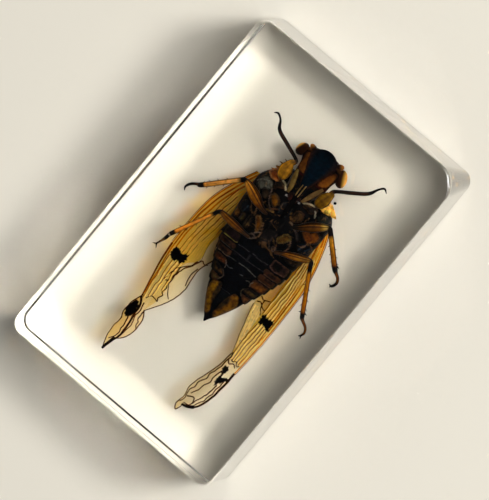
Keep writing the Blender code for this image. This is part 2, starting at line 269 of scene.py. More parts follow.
# outline, rise, dye of the rim, dye of the middle
BREAST_PADS = (
    (((-7.8, 8.7), (-6.9, 9.5), (-5.8, 9.6), (-4.7, 8.9), (-4.4, 7.9), (-5.1, 7.0), (-6.0, 6.5),
      (-7.0, 6.3), (-7.9, 7.3)), 0.3, SOOT, dye(78, 76, 66)),
    (((4.9, 9.2), (5.7, 9.9), (6.7, 10.0), (7.6, 9.4), (7.3, 8.6), (6.2, 8.2), (5.3, 8.3)), 0.3, SOOT,
     dye(26, 30, 26)),
    (((-5.9, 7.1), (-5.0, 7.5), (-4.3, 7.0), (-4.1, 6.1), (-4.9, 5.5), (-5.6, 5.9)), 0.25, COFFEE,
     dye(42, 30, 18)),
    (((-5.0, 10.0), (-4.4, 10.4), (-3.6, 10.5), (-2.8, 10.0), (-2.4, 9.4), (-3.1, 9.1), (-3.8, 8.7),
      (-4.2, 8.1), (-4.8, 8.7)), 0.6, UMBER, COFFEE),
    (((1.6, 9.4), (2.4, 9.9), (3.4, 10.2), (4.3, 10.3), (4.8, 9.7), (4.4, 8.8), (3.6, 8.4), (2.8, 8.8),
      (2.1, 8.7)), 0.6, UMBER, COFFEE),
    (((-1.5, 9.7), (-0.8, 10.0), (0.2, 9.9), (0.7, 9.4), (0.5, 8.5), (-0.2, 8.1), (-1.1, 8.2), (-1.6, 8.8)),
     0.6, dye(36, 14, 10), dye(50, 20, 15)),
    (((-4.1, 7.2), (-3.6, 7.8), (-2.6, 7.6), (-2.0, 7.0), (-1.8, 6.2), (-2.1, 5.5), (-2.7, 5.4),
      (-3.4, 6.0), (-4.0, 6.6)), 0.7, dye(70, 50, 24), dye(92, 54, 4)),
    (((1.6, 7.7), (2.4, 8.1), (3.2, 7.8), (3.6, 6.9), (3.2, 6.0), (2.4, 5.4), (1.6, 5.7), (1.3, 6.7)), 0.7,
     UMBER, dye(62, 42, 16)),
    (((-4.0, 2.3), (-3.4, 2.8), (-2.7, 2.5), (-2.0, 1.7), (-1.7, 0.7), (-2.1, -0.4), (-2.7, 0.3),
      (-3.4, 1.3)), 0.7, dye(92, 66, 34), dye(88, 48, 2)),
    (((1.7, 1.4), (2.1, 2.4), (2.6, 3.1), (3.4, 3.2), (4.0, 2.7), (3.7, 1.8), (2.9, 0.9), (2.1, 0.6)), 0.7,
     dye(84, 68, 30), dye(72, 48, 8)),
    (((-7.7, 3.0), (-6.9, 3.5), (-6.0, 3.4), (-5.3, 2.6), (-5.4, 1.7), (-6.2, 1.1), (-7.1, 1.2),
      (-7.8, 2.0)), 0.35, SOOT, dye(5, 12, 22)),
    (((5.2, 3.1), (6.2, 3.9), (7.3, 4.0), (8.2, 3.3), (8.2, 2.2), (7.5, 1.5), (6.2, 1.5), (5.3, 2.2)), 0.35,
     SOOT, dye(7, 13, 22)),
    (((-7.8, 1.2), (-7.1, 1.1), (-6.5, 0.7), (-6.6, -0.1), (-7.3, -0.4), (-7.9, 0.2)), 0.3, UMBER,
     dye(96, 60, 18)),
    (((-6.4, 1.1), (-5.8, 1.4), (-5.3, 0.9), (-5.2, 0.1), (-5.6, -0.4), (-6.3, -0.2)), 0.3, COFFEE,
     dye(50, 42, 14)),
    (((-5.0, 1.7), (-4.3, 1.8), (-3.9, 1.0), (-3.7, 0.0), (-4.1, -0.9), (-4.9, -0.8), (-5.1, 0.4)), 0.35,
     COFFEE, dye(62, 46, 18)),
    (((4.4, 5.2), (5.2, 6.3), (6.6, 6.9), (8.0, 6.2), (8.1, 4.9), (6.9, 3.8), (5.6, 4.1)), 0.35, COFFEE,
     dye(96, 50, 6)),
    (((-1.0, 1.6), (0.6, 2.0), (1.1, 0.4), (0.6, -1.2), (-0.6, -1.4), (-1.1, 0.2)), 0.3, dye(14, 11, 11),
     dye(26, 20, 18)),
    (((4.6, -0.1), (6.2, 0.5), (7.8, 0.4), (7.9, -0.7), (6.3, -1.3), (4.8, -1.0)), 0.3, SOOT, COFFEE),
    (((-6.4, 11.7), (-5.4, 11.6), (-4.5, 10.6), (-4.6, 9.6), (-5.9, 9.4), (-7.0, 9.9), (-7.3, 10.5)), 0.5,
     dye(150, 96, 50), dye(120, 56, 14)),
    (((5.2, 12.6), (6.1, 11.9), (7.0, 10.9), (6.6, 10.3), (5.3, 10.2), (4.3, 10.7), (4.6, 11.8)), 0.5,
     ORANGE, ORANGE),
    (((1.8, -0.6), (2.2, -0.1), (2.8, -0.2), (2.9, -1.0), (2.3, -1.3)), 0.4, dye(64, 50, 44), COFFEE),
    (((-3.2, -1.5), (-2.8, -0.8), (-2.1, -0.6), (-1.5, -1.1), (-2.1, -1.9), (-2.9, -2.0)), 0.4,
     dye(70, 58, 50), SOOT),
)
# path, half width, rise, dye
BREAST_LINES = (
    (((-3.9, 10.4), (-3.2, 10.2), (-2.7, 9.7), (-2.4, 9.3)), 0.2, 0.25, dye(196, 180, 140)),
    (((1.6, 9.4), (2.2, 9.8), (3.0, 10.1), (3.7, 10.2)), 0.2, 0.25, dye(196, 180, 140)),
    # the next three pale marks are painted glints
    (((4.3, 9.6), (4.6, 9.2), (4.9, 8.5)), 0.16, 0.2, dye(160, 152, 130)),
    (((-1.75, 8.75), (-1.7, 8.6)), 0.2, 0.4, dye(210, 205, 200)),
    (((0.85, 9.05), (0.9, 8.9)), 0.2, 0.4, dye(210, 205, 200)),
    (((0.8, 7.2), (1.0, 6.5), (1.5, 5.7)), 0.16, 0.1, dye(96, 68, 26)),
    (((-7.8, 7.5), (-7.3, 8.2), (-6.6, 8.6), (-5.8, 8.9)), 0.16, 0.2, dye(92, 90, 82)),
    (((-3.9, 3.5), (-3.3, 4.2), (-2.6, 4.6), (-1.9, 4.7)), 0.26, 0.35, dye(96, 72, 36)),
    (((-2.6, 4.9), (-1.9, 5.4), (-1.3, 5.7)), 0.22, 0.25, dye(84, 54, 32)),
    (((1.9, 5.2), (2.6, 5.0), (3.4, 4.5)), 0.24, 0.3, dye(104, 84, 66)),
    (((3.4, 4.5), (4.1, 4.1), (4.7, 3.4)), 0.28, 0.3, dye(46, 36, 34)),
    # the next three grey-blue lines are painted highlights on the blue-black side plates
    (((-6.2, 2.8), (-6.3, 2.0), (-6.4, 1.4)), 0.16, 0.1, dye(30, 40, 50)),
    (((6.7, 3.5), (6.3, 2.7), (6.1, 1.9)), 0.2, 0.1, dye(34, 40, 48)),
    (((7.6, 3.3), (7.1, 2.5)), 0.16, 0.1, dye(26, 36, 50)),
    (((-1.4, 0.3), (-1.9, -0.1), (-2.3, -0.5)), 0.14, 0.15, dye(110, 92, 80)),
    (((1.3, 0.8), (1.7, 0.3), (2.3, 0.0)), 0.16, 0.15, dye(86, 62, 28)),
    (((-4.6, 8.1), (-4.0, 6.4), (-3.3, 5.4), (-2.4, 4.7)), 0.16, 0.3, dye(104, 84, 70)),
    (((-2.0, 2.0), (-1.2, 0.0), (-1.6, -1.3)), 0.15, 0.25, dye(96, 70, 48)),
    (((1.3, 1.9), (1.0, 0.2), (1.7, -1.2)), 0.18, 0.25, dye(56, 44, 38)),
    (((-4.1, 5.4), (-4.8, 4.1), (-4.2, 2.1)), 0.16, 0.25, dye(100, 72, 44)),
    (((4.2, 7.9), (3.8, 6.2), (4.0, 4.8)), 0.15, 0.25, dye(96, 70, 44)),
    (((4.0, 2.5), (4.5, 1.1), (3.9, -0.4)), 0.16, 0.25, dye(96, 74, 56)),
    (((-6.9, 6.9), (-6.2, 6.1), (-5.8, 5.0)), 0.16, 0.15, dye(70, 60, 46)),
    (((-1.1, 7.7), (-1.3, 6.3), (-1.0, 5.3)), 0.2, 0.2, dye(34, 36, 38)),
    (((0.6, 7.6), (0.7, 6.3), (0.4, 5.3)), 0.18, 0.2, dye(30, 30, 30)),
    (((-1.3, 4.4), (-0.6, 1.0), (-0.9, -1.5)), 0.25, 0.2, dye(18, 14, 14)),
    (((1.1, 4.4), (0.5, 1.0), (0.8, -1.5)), 0.25, 0.2, dye(20, 16, 14)),
    (((6.0, 5.9), (6.6, 6.7)), 0.3, 0.0, SOOT),
    (((-4.6, 1.5), (-4.5, 0.4), (-4.6, -0.6)), 0.12, 0.0, SOOT),
    (((-4.2, 1.4), (-4.05, 0.4), (-4.2, -0.6)), 0.1, 0.0, SOOT),
    (((1.8, 7.6), (1.9, 6.7), (2.1, 5.9)), 0.12, 0.0, COFFEE),
    (((2.4, 7.8), (2.5, 6.8), (2.6, 5.8)), 0.12, 0.0, COFFEE),
    (((4.6, 12.4), (5.6, 12.3), (7.0, 11.1)), 0.16, 0.1, dye(250, 190, 110)),
)
# The back: a collar with orange borders, and a broad shield marked like a W, ending in a cross
BACK_PADS = (
    (((-5.6, 12.2), (-3.0, 13.0), (0.0, 13.1), (3.0, 13.0), (5.6, 12.2), (6.4, 10.6), (3.5, 10.0),
      (0.0, 9.7), (-3.5, 10.0), (-6.4, 10.6)), 0.3, dye(150, 96, 30), COFFEE),
    (((-1.0, 12.7), (1.0, 12.7), (0.5, 11.0), (0.9, 10.1), (-0.9, 10.1), (-0.5, 11.0)), 0.1,
     dye(150, 96, 30), AMBER),
    (((-7.4, 9.9), (-4.0, 9.3), (0.0, 9.0), (4.0, 9.3), (7.4, 9.9), (8.0, 9.0), (4.0, 8.5), (0.0, 8.2),
      (-4.0, 8.5), (-8.0, 9.0)), 0.15, dye(160, 104, 36), dye(140, 84, 24)),
    (((-6.6, 8.0), (-3.2, 7.9), (0.0, 7.7), (3.2, 7.9), (6.6, 8.0), (6.8, 4.0), (5.0, 0.0), (0.0, -0.8),
      (-5.0, 0.0), (-6.8, 4.0)), 0.3, COFFEE, SOOT),
    (((-2.2, 7.6), (-1.2, 7.6), (-1.4, 4.2), (-2.0, 2.6), (-2.6, 4.6)), 0.1, RUST, dye(150, 92, 26)),
    (((2.2, 7.6), (1.2, 7.6), (1.4, 4.2), (2.0, 2.6), (2.6, 4.6)), 0.1, RUST, dye(150, 92, 26)),
    (((-5.2, 7.4), (-4.4, 7.4), (-4.6, 2.6), (-5.6, 1.0), (-6.0, 4.0)), 0.1, RUST, dye(120, 70, 20)),
    (((5.2, 7.4), (4.4, 7.4), (4.6, 2.6), (5.6, 1.0), (6.0, 4.0)), 0.1, RUST, dye(120, 70, 20)),
    (((-3.2, 1.2), (0.0, 0.2), (3.2, 1.2), (1.4, -0.4), (3.0, -1.8), (0.0, -1.1), (-3.0, -1.8),
      (-1.4, -0.4)), 0.4, RUST, dye(160, 104, 36)),
)
BACK_LINES = (
    (((-4.6, 12.4), (-3.0, 11.2), (-3.4, 10.2)), 0.14, -0.12, SOOT),
    (((4.6, 12.4), (3.0, 11.2), (3.4, 10.2)), 0.14, -0.12, SOOT),
)
# A pad is domed up to its shoulder, with a dark seam round it, a rim and a middle of its own dye under
# painted shade
SEAM_AT = 0.1
SEAM_WIDTH = 0.11
SEAM_DARKNESS = 0.9
SEAM_DEPTH = 0.06
RIM_FULL = 0.09
MIDDLE_FROM = 0.2
MIDDLE_FULL = 0.5
SHOULDER = 0.7
# painted shade over a pad's middle: its brightness, and its gain from the left head side to the right tail
# side
PAINTED_MIDDLE_BRIGHTNESS = 1.05
PAINTED_MIDDLE_GAIN = 0.9
# reach and paces of the wavering edge of a pad
PAD_WAVER = (0.06, 9.1, 4.3, 5.7, 3.3)
# share of a line's half width that has its full dye, and how far round its path it is looked for
LINE_CORE = 0.35
LINE_ROOM = 1.0
LINE_STEPS_PER_POINT = 6
# steps of a smooth curve from one given point to the next
STEPS_BETWEEN = 12


def flowing(points, count, closed=False):
    """Points evenly along a smooth curve through a few given ones."""
    given = np.array(points, float)
    if closed:
        given = np.vstack([given[-1:], given, given[:2]])
    else:
        given = np.vstack([2.0 * given[:1] - given[1:2], given, 2.0 * given[-1:] - given[-2:-1]])
    dense = []
    for a, b, c, d in zip(given, given[1:], given[2:], given[3:]):
        for t in np.arange(0.0, 1.0, 1.0 / STEPS_BETWEEN):
            bend = (2.0 * a - 5.0 * b + 4.0 * c - d) * t * t + (3.0 * b - a - 3.0 * c + d) * t ** 3
            dense.append(0.5 * (2.0 * b + (c - a) * t + bend))
    dense = np.array(dense + [given[-2]])
    run = np.concatenate([[0.0], np.cumsum(np.linalg.norm(np.diff(dense, axis=0), axis=1))])
    spots = np.linspace(0.0, run[-1], count, endpoint=not closed)
    return np.column_stack([np.interp(spots, run, column) for column in dense.T])


def eased(values, low, high):
    """0 up to low, 1 from high on, and a soft change between."""
    share = np.clip((values - low) / (high - low), 0.0, 1.0)
    return share * share * (3.0 - 2.0 * share)


def away_from(path, u, v):
    """Distance of places from a path."""
    nearest = np.full(u.shape, np.inf)
    for (u1, v1), (u2, v2) in zip(path, path[1:]):
        length = (u2 - u1) ** 2 + (v2 - v1) ** 2
        share = np.clip(((u - u1) * (u2 - u1) + (v - v1) * (v2 - v1)) / length, 0.0, 1.0)
        nearest = np.minimum(nearest, np.hypot(u - u1 - share * (u2 - u1), v - v1 - share * (v2 - v1)))
    return nearest


def depth_in(outline, u, v):
    """How far places lie inside a closed outline, less than nothing outside."""
    loop = np.vstack([outline, outline[:1]])
    found = np.zeros(u.shape, bool)
    for (u1, v1), (u2, v2) in zip(loop, loop[1:]):
        if v1 != v2:
            found ^= ((v1 > v) != (v2 > v)) & (u < (u2 - u1) * (v - v1) / (v2 - v1) + u1)
    distance = away_from(loop, u, v)
    return np.where(found, distance, -distance)


def waver(u, v, reach, across, along, slant_along, slant_across):
    """How far an uneven edge strays at each place."""
    return reach * np.sin(across * u + along * v) * np.sin(slant_along * v - slant_across * u)


def dress(u, v, tints, pads, lines):
    """Dyes and raises pads and lines on a skin, and gives back how far each place is raised."""
    lift = np.zeros(u.shape)
    for outline, rise, rim, middle in pads:
        edge = flowing(outline, count=48, closed=True)
        middle_u, middle_v = edge.mean(axis=0)
        wide, long = np.ptp(edge, axis=0)
        near = (np.abs(u - middle_u) < wide) & (np.abs(v - middle_v) < long)
        depth = depth_in(edge, u[near], v[near]) + waver(u[near], v[near], *PAD_WAVER)
        # painted shade: each pad's middle is lighter towards the right tail side and darker towards the
        # left head side
        painted_side_light = PAINTED_MIDDLE_BRIGHTNESS + PAINTED_MIDDLE_GAIN * ((u[near] - middle_u) / wide - (v[near] - middle_v) / long)
        seam = np.exp(-((depth + SEAM_AT) / SEAM_WIDTH) ** 2)
        tints[near] *= (1.0 - SEAM_DARKNESS * seam)[:, None]
        tints[near] += (np.array(rim) - tints[near]) * eased(depth, 0.0, RIM_FULL)[:, None]
        filled = np.array(middle) * painted_side_light[:, None]
        tints[near] += (filled - tints[near]) * eased(depth, MIDDLE_FROM, MIDDLE_FULL)[:, None]
        dome = 1.0 - (1.0 - np.clip(depth / SHOULDER, 0.0, 1.0)) ** 2
        lift[near] += rise * dome - SEAM_DEPTH * seam
    for path, half, rise, color in lines:
        line = flowing(path, LINE_STEPS_PER_POINT * len(path))
        near = ((np.abs(u - line[:, 0].mean()) < np.ptp(line[:, 0]) + LINE_ROOM)
                & (np.abs(v - line[:, 1].mean()) < np.ptp(line[:, 1]) + LINE_ROOM))
        share = 1.0 - eased(away_from(line, u[near], v[near]), half * LINE_CORE, half)
        tints[near] += (np.array(color) - tints[near]) * share[:, None]
        lift[near] += rise * share
    return lift


def skin(rings, tints):
    """Points, faces and dyes of a closed skin through rings, with one more point at each end."""
    rings = np.array(rings, float)
    tints = np.broadcast_to(np.array(tints, float), rings.shape)
    rows, sides = rings.shape[:2]
    points = np.vstack([rings.reshape(-1, 3), rings[0].mean(0), rings[-1].mean(0)])
    colors = np.vstack([tints.reshape(-1, 3), tints[0].mean(0), tints[-1].mean(0)])
    faces = []
    for i in range(rows - 1):
        for k in range(sides):
            n = (k + 1) % sides
            faces.append((i * sides + k, i * sides + n, (i + 1) * sides + n, (i + 1) * sides + k))
    head, tail, last = rows * sides, rows * sides + 1, (rows - 1) * sides
    for k in range(sides):
        n = (k + 1) % sides
        faces.append((n, k, head))
        faces.append((last + k, last + n, tail))
    return points, faces, colors


def insect_piece(name, skins, finish):
    """Skins in the insect's own millimetres, as one piece in the block with its dyes on it."""
    points, faces, colors = [], [], []
    start = 0
    for skin_points, skin_faces, skin_colors in skins:
        points.append(skin_points)
        colors.append(skin_colors)
        faces += [tuple(i + start for i in face) for face in skin_faces]
        start += len(skin_points)
    mesh = bpy.data.meshes.new(name)
    mesh.from_pydata([tuple(p) for p in np.vstack(points)], [], faces)
    mesh.transform(INSECT_FRAME)
    tint = mesh.color_attributes.new("tint", "FLOAT_COLOR", "POINT")
    rgba = np.column_stack([np.clip(np.vstack(colors), 0.0, 1.0), np.ones(start)])
    tint.data.foreach_set("color", rgba.astype(np.float32).ravel())
    builder = bmesh.new()
    builder.from_mesh(mesh)
    bmesh.ops.recalc_face_normals(builder, faces=builder.faces)
    builder.to_mesh(mesh)
    builder.free()
    mesh.shade_smooth()
    mesh.set_sharp_from_angle(angle=SHARP_FROM)
    mesh.materials.append(finish)
    piece = placed(name, mesh)
    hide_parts("cicada")
    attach(piece, "root")


def oval(v, half, belly, back, middle=BODY_MIDDLE, u=0.0, sides=96):
    """One section across the body, a little fuller than an ellipse."""
    turns = np.arange(sides) * 2.0 * math.pi / sides
    across = np.sign(np.cos(turns)) * np.abs(np.cos(turns)) ** BODY_SQUARENESS
    upward = np.sign(np.sin(turns)) * np.abs(np.sin(turns)) ** BODY_SQUARENESS
    height = np.where(upward > 0.0, belly, back)
    return np.column_stack([u + half * across, np.full(sides, v), middle + height * upward])


def dressed_body(rows, ground, belly_marks, back_marks):
    """The body's skin through its sections, with the pads and lines of belly and back on it."""
    rings = np.array([oval(*row, sides=BODY_SIDES) for row in rows])
    tints = np.zeros(rings.shape) + np.array(ground)
    for marks, side in ((belly_marks, 1.0), (back_marks, -1.0)):
        here = (rings[..., 2] - BODY_MIDDLE) * side > 0.0
        colors = tints[here]
        lift = dress(rings[here][:, 0], rings[here][:, 1], colors, *marks)
        tints[here] = colors
        room = eased(np.abs(rings[here][:, 2] - BODY_MIDDLE), RELIEF_FROM, RELIEF_FULL)
        raised = rings[here]
        raised[:, 2] += side * lift * room
        rings[here] = raised
    return skin(rings, tints)


# nearly all of a cloud's values lie between these two
CLOUD_LOW = 0.3
CLOUD_HIGH = 0.7
# where the patches begin and are full in their clouds
PATCH_FROM = 0.57
PATCH_FULL = 0.69
# roughness where the skin shines most and least
GLOSSIEST = 0.28
DULLEST = 0.55
PIT_DEPTH = 0.1 * MM


def clouds_over(tree, scale, detail, distortion=0.0):
    """Soft clouds through a piece, fixed to its own place."""
    place = tree.nodes.new("ShaderNodeTexCoord")
    clouds = tree.nodes.new("ShaderNodeTexNoise")
    clouds.inputs["Scale"].default_value = scale
    clouds.inputs["Detail"].default_value = detail
    clouds.inputs["Distortion"].default_value = distortion
    tree.links.new(place.outputs["Object"], clouds.inputs["Vector"])
    return clouds.outputs["Fac"]


def times(tree, color, factor):
    """A colour or a direction times a factor."""
    product = tree.nodes.new("ShaderNodeVectorMath")
    product.operation = "SCALE"
    tree.links.new(color, product.inputs[0])
    tree.links.new(factor, product.inputs["Scale"])
    return product.outputs["Vector"]


def beside_one(tree, operation, value):
    """One, and a value added to it or taken from it."""
    total = tree.nodes.new("ShaderNodeMath")
    total.operation = operation
    total.inputs[0].default_value = 1.0
    tree.links.new(value, total.inputs[1])
    return total.outputs["Value"]


def new_group(name, inputs, outputs):
    """An empty shader group with its named colours and values, and its two end nodes."""
    group = bpy.data.node_groups.new(name, "ShaderNodeTree")
    for way, sockets in (("INPUT", inputs), ("OUTPUT", outputs)):
        for socket, kind in sockets.items():
            group.interface.new_socket(socket, in_out=way, socket_type="NodeSocket" + kind)
    return group, group.nodes.new("NodeGroupInput").outputs, group.nodes.new("NodeGroupOutput").inputs


def cuticle_group():
    """Mottled dye, paler patches, fine pits and dull places, as dried insect skin has."""
    group, given, result = new_group(
        "cuticle", {"Tint": "Color", "Patches": "Color", "Mottle": "Float", "Grain": "Float"},
        {"Color": "Color", "Roughness": "Float", "Height": "Float"})
    mottle = clouds_over(group, scale=1400.0, detail=4.0)
    spread = stretched(group, mottle, CLOUD_LOW, CLOUD_HIGH)
    group.links.new(beside_one(group, "SUBTRACT", given["Mottle"]), spread.inputs["To Min"])
    group.links.new(beside_one(group, "ADD", given["Mottle"]), spread.inputs["To Max"])
    patches = clouds_over(group, scale=520.0, detail=6.0, distortion=1.4)
    patched = stretched(group, patches, PATCH_FROM, PATCH_FULL)
    total = group.nodes.new("ShaderNodeVectorMath")
    total.operation = "ADD"
    group.links.new(times(group, given["Tint"], spread.outputs["Result"]), total.inputs[0])
    group.links.new(times(group, given["Patches"], patched.outputs["Result"]), total.inputs[1])
    dull = stretched(group, mottle, 0.0, 1.0, GLOSSIEST, DULLEST)
    place = group.nodes.new("ShaderNodeTexCoord")
    pits = group.nodes.new("ShaderNodeTexVoronoi")
    group.links.new(place.outputs["Object"], pits.inputs["Vector"])
    group.links.new(given["Grain"], pits.inputs["Scale"])
    group.links.new(total.outputs["Vector"], result["Color"])
    group.links.new(dull.outputs["Result"], result["Roughness"])
    group.links.new(pits.outputs["Distance"], result["Height"])
    return group


CUTICLE = cuticle_group()


def cuticle_material(name, mottle, grain, relief, gloss, patches=(0.0, 0.0, 0.0)):
    """Dried insect skin over the dyes of a piece."""
    material = bpy.data.materials.new(name)
    shader = shader_of(material)
    shader.inputs["Specular IOR Level"].default_value = gloss
    nodes, links = material.node_tree.nodes, material.node_tree.links
    tint = nodes.new("ShaderNodeAttribute")
    tint.attribute_name = "tint"
    cuticle = nodes.new("ShaderNodeGroup")
    cuticle.node_tree = CUTICLE
    cuticle.inputs["Patches"].default_value = (*patches, 1.0)
    cuticle.inputs["Mottle"].default_value = mottle
    cuticle.inputs["Grain"].default_value = grain
    links.new(tint.outputs["Color"], cuticle.inputs["Tint"])
    bump = nodes.new("ShaderNodeBump")
    bump.inputs["Strength"].default_value = relief
    bump.inputs["Distance"].default_value = PIT_DEPTH
    links.new(cuticle.outputs["Height"], bump.inputs["Height"])
    links.new(cuticle.outputs["Color"], shader.inputs["Base Color"])
    links.new(cuticle.outputs["Roughness"], shader.inputs["Roughness"])
    links.new(bump.outputs["Normal"], shader.inputs["Normal"])
    return material


SPIKE_RINGS = 8
SPIKE_TAPER = 0.8
SPIKE_FLATNESS = 0.5
SPIKE_POINT = 0.03


def square_to(along):
    """The level and the upright direction square to a rod."""
    side = np.cross(along, (0.0, 0.0, 1.0))
    side /= np.linalg.norm(side)
    return side, np.cross(side, along / np.linalg.norm(along))


def hoop(middle, side, upright, radius, turns):
    """A ring of points square to a rod."""
    return [middle + (side * math.cos(a) + upright * math.sin(a)) * radius for a in turns]


def spike(root, tip, half, color, sides=12):
    """A flap or spine that narrows from its root to a point."""
    root, tip = np.array(root, float), np.array(tip, float)
    side, upright = square_to(tip - root)
    turns = 2.0 * math.pi * np.arange(sides) / sides
    rings = []
    for share in np.linspace(0.0, 1.0, SPIKE_RINGS):
        wide = half * (1.0 - share) ** SPIKE_TAPER + SPIKE_POINT
        rings.append(hoop(root + (tip - root) * share, side, upright * SPIKE_FLATNESS, wide, turns))
    return skin(rings, color)


# The collar's right flap stands out from the side in a point, the left one is broken and frayed:
# root, tip, half width, dye
FLAPS = (
    ((5.6, 11.3, 9.6), (8.1, 10.6, 9.4), 1.1, ORANGE),
    ((-5.8, 10.7, 9.7), (-7.6, 9.9, 9.3), 0.55, dye(120, 62, 22)),
    ((-5.7, 11.1, 10.0), (-7.3, 10.8, 9.8), 0.3, dye(170, 104, 48)),
    ((-5.4, 11.6, 10.3), (-6.8, 11.6, 10.2), 0.25, dye(150, 86, 30)),
    ((-5.9, 10.4, 10.2), (-7.0, 10.3, 10.3), 0.2, dye(190, 130, 70)),
)
breast_skin = dressed_body(
    flowing(THORAX, count=160), ground=dye(3, 2, 3), belly_marks=(BREAST_PADS, BREAST_LINES),
    back_marks=(BACK_PADS, BACK_LINES))
breast_finish = cuticle_material(
    "breast_cuticle", mottle=0.65, grain=5000.0, relief=0.5, gloss=0.04, patches=dye(84, 58, 28))
insect_piece("cicada_breast", [breast_skin] + [spike(*flap) for flap in FLAPS], breast_finish)


# Abdomen. Ring plates of cuticle that slide under one another towards the tail: black with thin
# pale painted glints down the middle, red-brown pads on both flanks, and amber halves round the tail.
RING_STEP = 0.22
RING_SWELL = 0.1
# v and half width where one ring plate ends and the next begins, and then along the tail
RING_EDGES = ((-1.9, 7.8), (-4.1, 7.6), (-5.6, 7.15), (-7.1, 6.6), (-8.8, 5.95), (-10.7, 5.0), (-12.4, 4.2))
TAIL = ((-13.6, 3.55), (-15.3, 2.7), (-16.8, 1.85), (-17.9, 1.15), (-18.6, 0.6), (-19.5, 0.12))
# height of the belly, depth of the back and height of the tail, as shares of the half width
BELLY_SHARE = 0.47
BACK_SHARE = 0.58
TAIL_SHARE = 0.8
# how far past the last ring's edge the tail sets in
TAIL_GAP = 0.02
# share of a ring's length that its rows cover before it steps in, how many they are, and how much
# of the swell's half wave fits on it
RING_REACH = 0.96
RING_ROWS = 15
RING_WAVE = 0.75


def abdomen_rows():
    """Section sizes from the breast to the tail: each ring swells a little, then steps in."""
    rows = []
    for (v, half), (next_v, next_half) in zip(RING_EDGES, RING_EDGES[1:]):
        for share in np.append(np.linspace(0.0, RING_REACH, RING_ROWS), 1.0):
            swell = math.sin(math.pi * share * RING_WAVE) * RING_SWELL
            wide = half + (next_half - half) * share - RING_STEP * (1.0 - share) + swell
            rows.append((v + (next_v - v) * share, wide, wide * BELLY_SHARE, wide * BACK_SHARE))
    last_v, last_half = RING_EDGES[-1]
    for v, half in flowing(((last_v - TAIL_GAP, last_half - RING_STEP),) + TAIL, count=64):
        share = np.interp(v, (TAIL[1][0], last_v), (TAIL_SHARE, BELLY_SHARE))
        rows.append((v, half, half * share, half * max(share, BACK_SHARE)))
    return rows


ABDOMEN_PADS = (
    (((-6.9, -2.2), (-5.4, -2.2), (-4.2, -2.3), (-3.7, -3.1), (-3.8, -3.9), (-5.3, -4.0), (-6.9, -3.9)),
     0.15, COFFEE, dye(26, 12, 14)),
    (((-7.0, -4.4), (-5.2, -4.4), (-3.6, -4.4), (-3.5, -5.3), (-5.2, -5.3), (-6.8, -5.4)), 0.15, UMBER,
     dye(38, 18, 14)),
    (((-6.7, -5.9), (-5.1, -5.8), (-3.5, -5.8), (-3.5, -6.9), (-4.8, -6.9), (-6.3, -7.0)), 0.15, UMBER,
     dye(52, 27, 13)),
    (((-6.0, -7.5), (-4.4, -7.4), (-3.3, -7.7), (-2.9, -8.5), (-4.1, -8.7), (-5.6, -8.7)), 0.15, UMBER,
     dye(62, 28, 5)),
    (((-5.3, -9.2), (-4.0, -9.1), (-2.8, -9.5), (-2.0, -10.4), (-3.0, -10.6), (-4.4, -10.6)), 0.15, COFFEE,
     dye(64, 42, 14)),
    (((-4.6, -10.9), (-3.0, -10.9), (-2.1, -11.0), (-2.6, -11.8), (-3.5, -12.2), (-4.1, -11.7)), 0.15,
     UMBER, dye(58, 44, 20)),
    (((3.8, -2.0), (4.6, -1.9), (5.8, -1.9), (7.0, -2.0), (7.2, -3.0), (7.0, -3.9), (5.7, -4.0),
      (4.4, -3.9), (3.7, -3.2)), 0.15, dye(56, 36, 26), dye(30, 18, 15)),
    (((4.3, -3.1), (4.6, -2.5), (5.2, -2.4), (5.7, -2.8), (5.5, -3.4), (4.8, -3.6)), -0.1, SOOT, SOOT),
    (((3.5, -4.4), (5.0, -4.4), (6.5, -4.4), (7.0, -4.6), (6.8, -5.4), (5.4, -5.5), (3.6, -5.4)), 0.15,
     UMBER, dye(52, 28, 12)),
    (((3.3, -5.8), (5.0, -5.8), (6.4, -5.8), (6.5, -6.4), (6.2, -6.9), (4.6, -6.9), (3.3, -6.9)), 0.15,
     UMBER, dye(56, 30, 9)),
    (((3.1, -7.3), (4.8, -7.3), (6.0, -7.3), (5.9, -8.2), (5.5, -8.9), (4.1, -9.1), (2.9, -9.0),
      (2.8, -8.1)), 0.15, UMBER, dye(80, 44, 8)),
    (((2.3, -10.2), (3.1, -9.3), (4.4, -9.2), (5.1, -9.5), (4.8, -10.4), (3.2, -10.6)), 0.15, COFFEE,
     dye(60, 44, 16)),
    (((2.6, -11.0), (3.2, -10.9), (4.6, -10.9), (4.3, -11.9), (3.9, -12.3), (3.2, -11.9)), 0.15, UMBER,
     dye(78, 46, 20)),
    (((-1.8, -11.5), (-2.9, -12.3), (-3.5, -13.2), (-3.3, -14.1), (-2.5, -15.5), (-1.7, -16.8),
      (-0.8, -17.9), (-0.5, -17.5), (-0.7, -15.8), (-0.8, -14.4), (-0.9, -12.8), (-1.3, -11.7)), 0.2,
     dye(40, 26, 6), dye(44, 32, 12)),
    (((1.8, -11.6), (2.8, -12.4), (3.4, -13.6), (3.1, -14.6), (2.4, -15.9), (1.6, -17.2), (0.8, -18.0),
      (0.5, -16.5), (0.6, -14.5), (1.1, -12.8)), 0.2, dye(40, 26, 6), dye(44, 32, 12)),
)
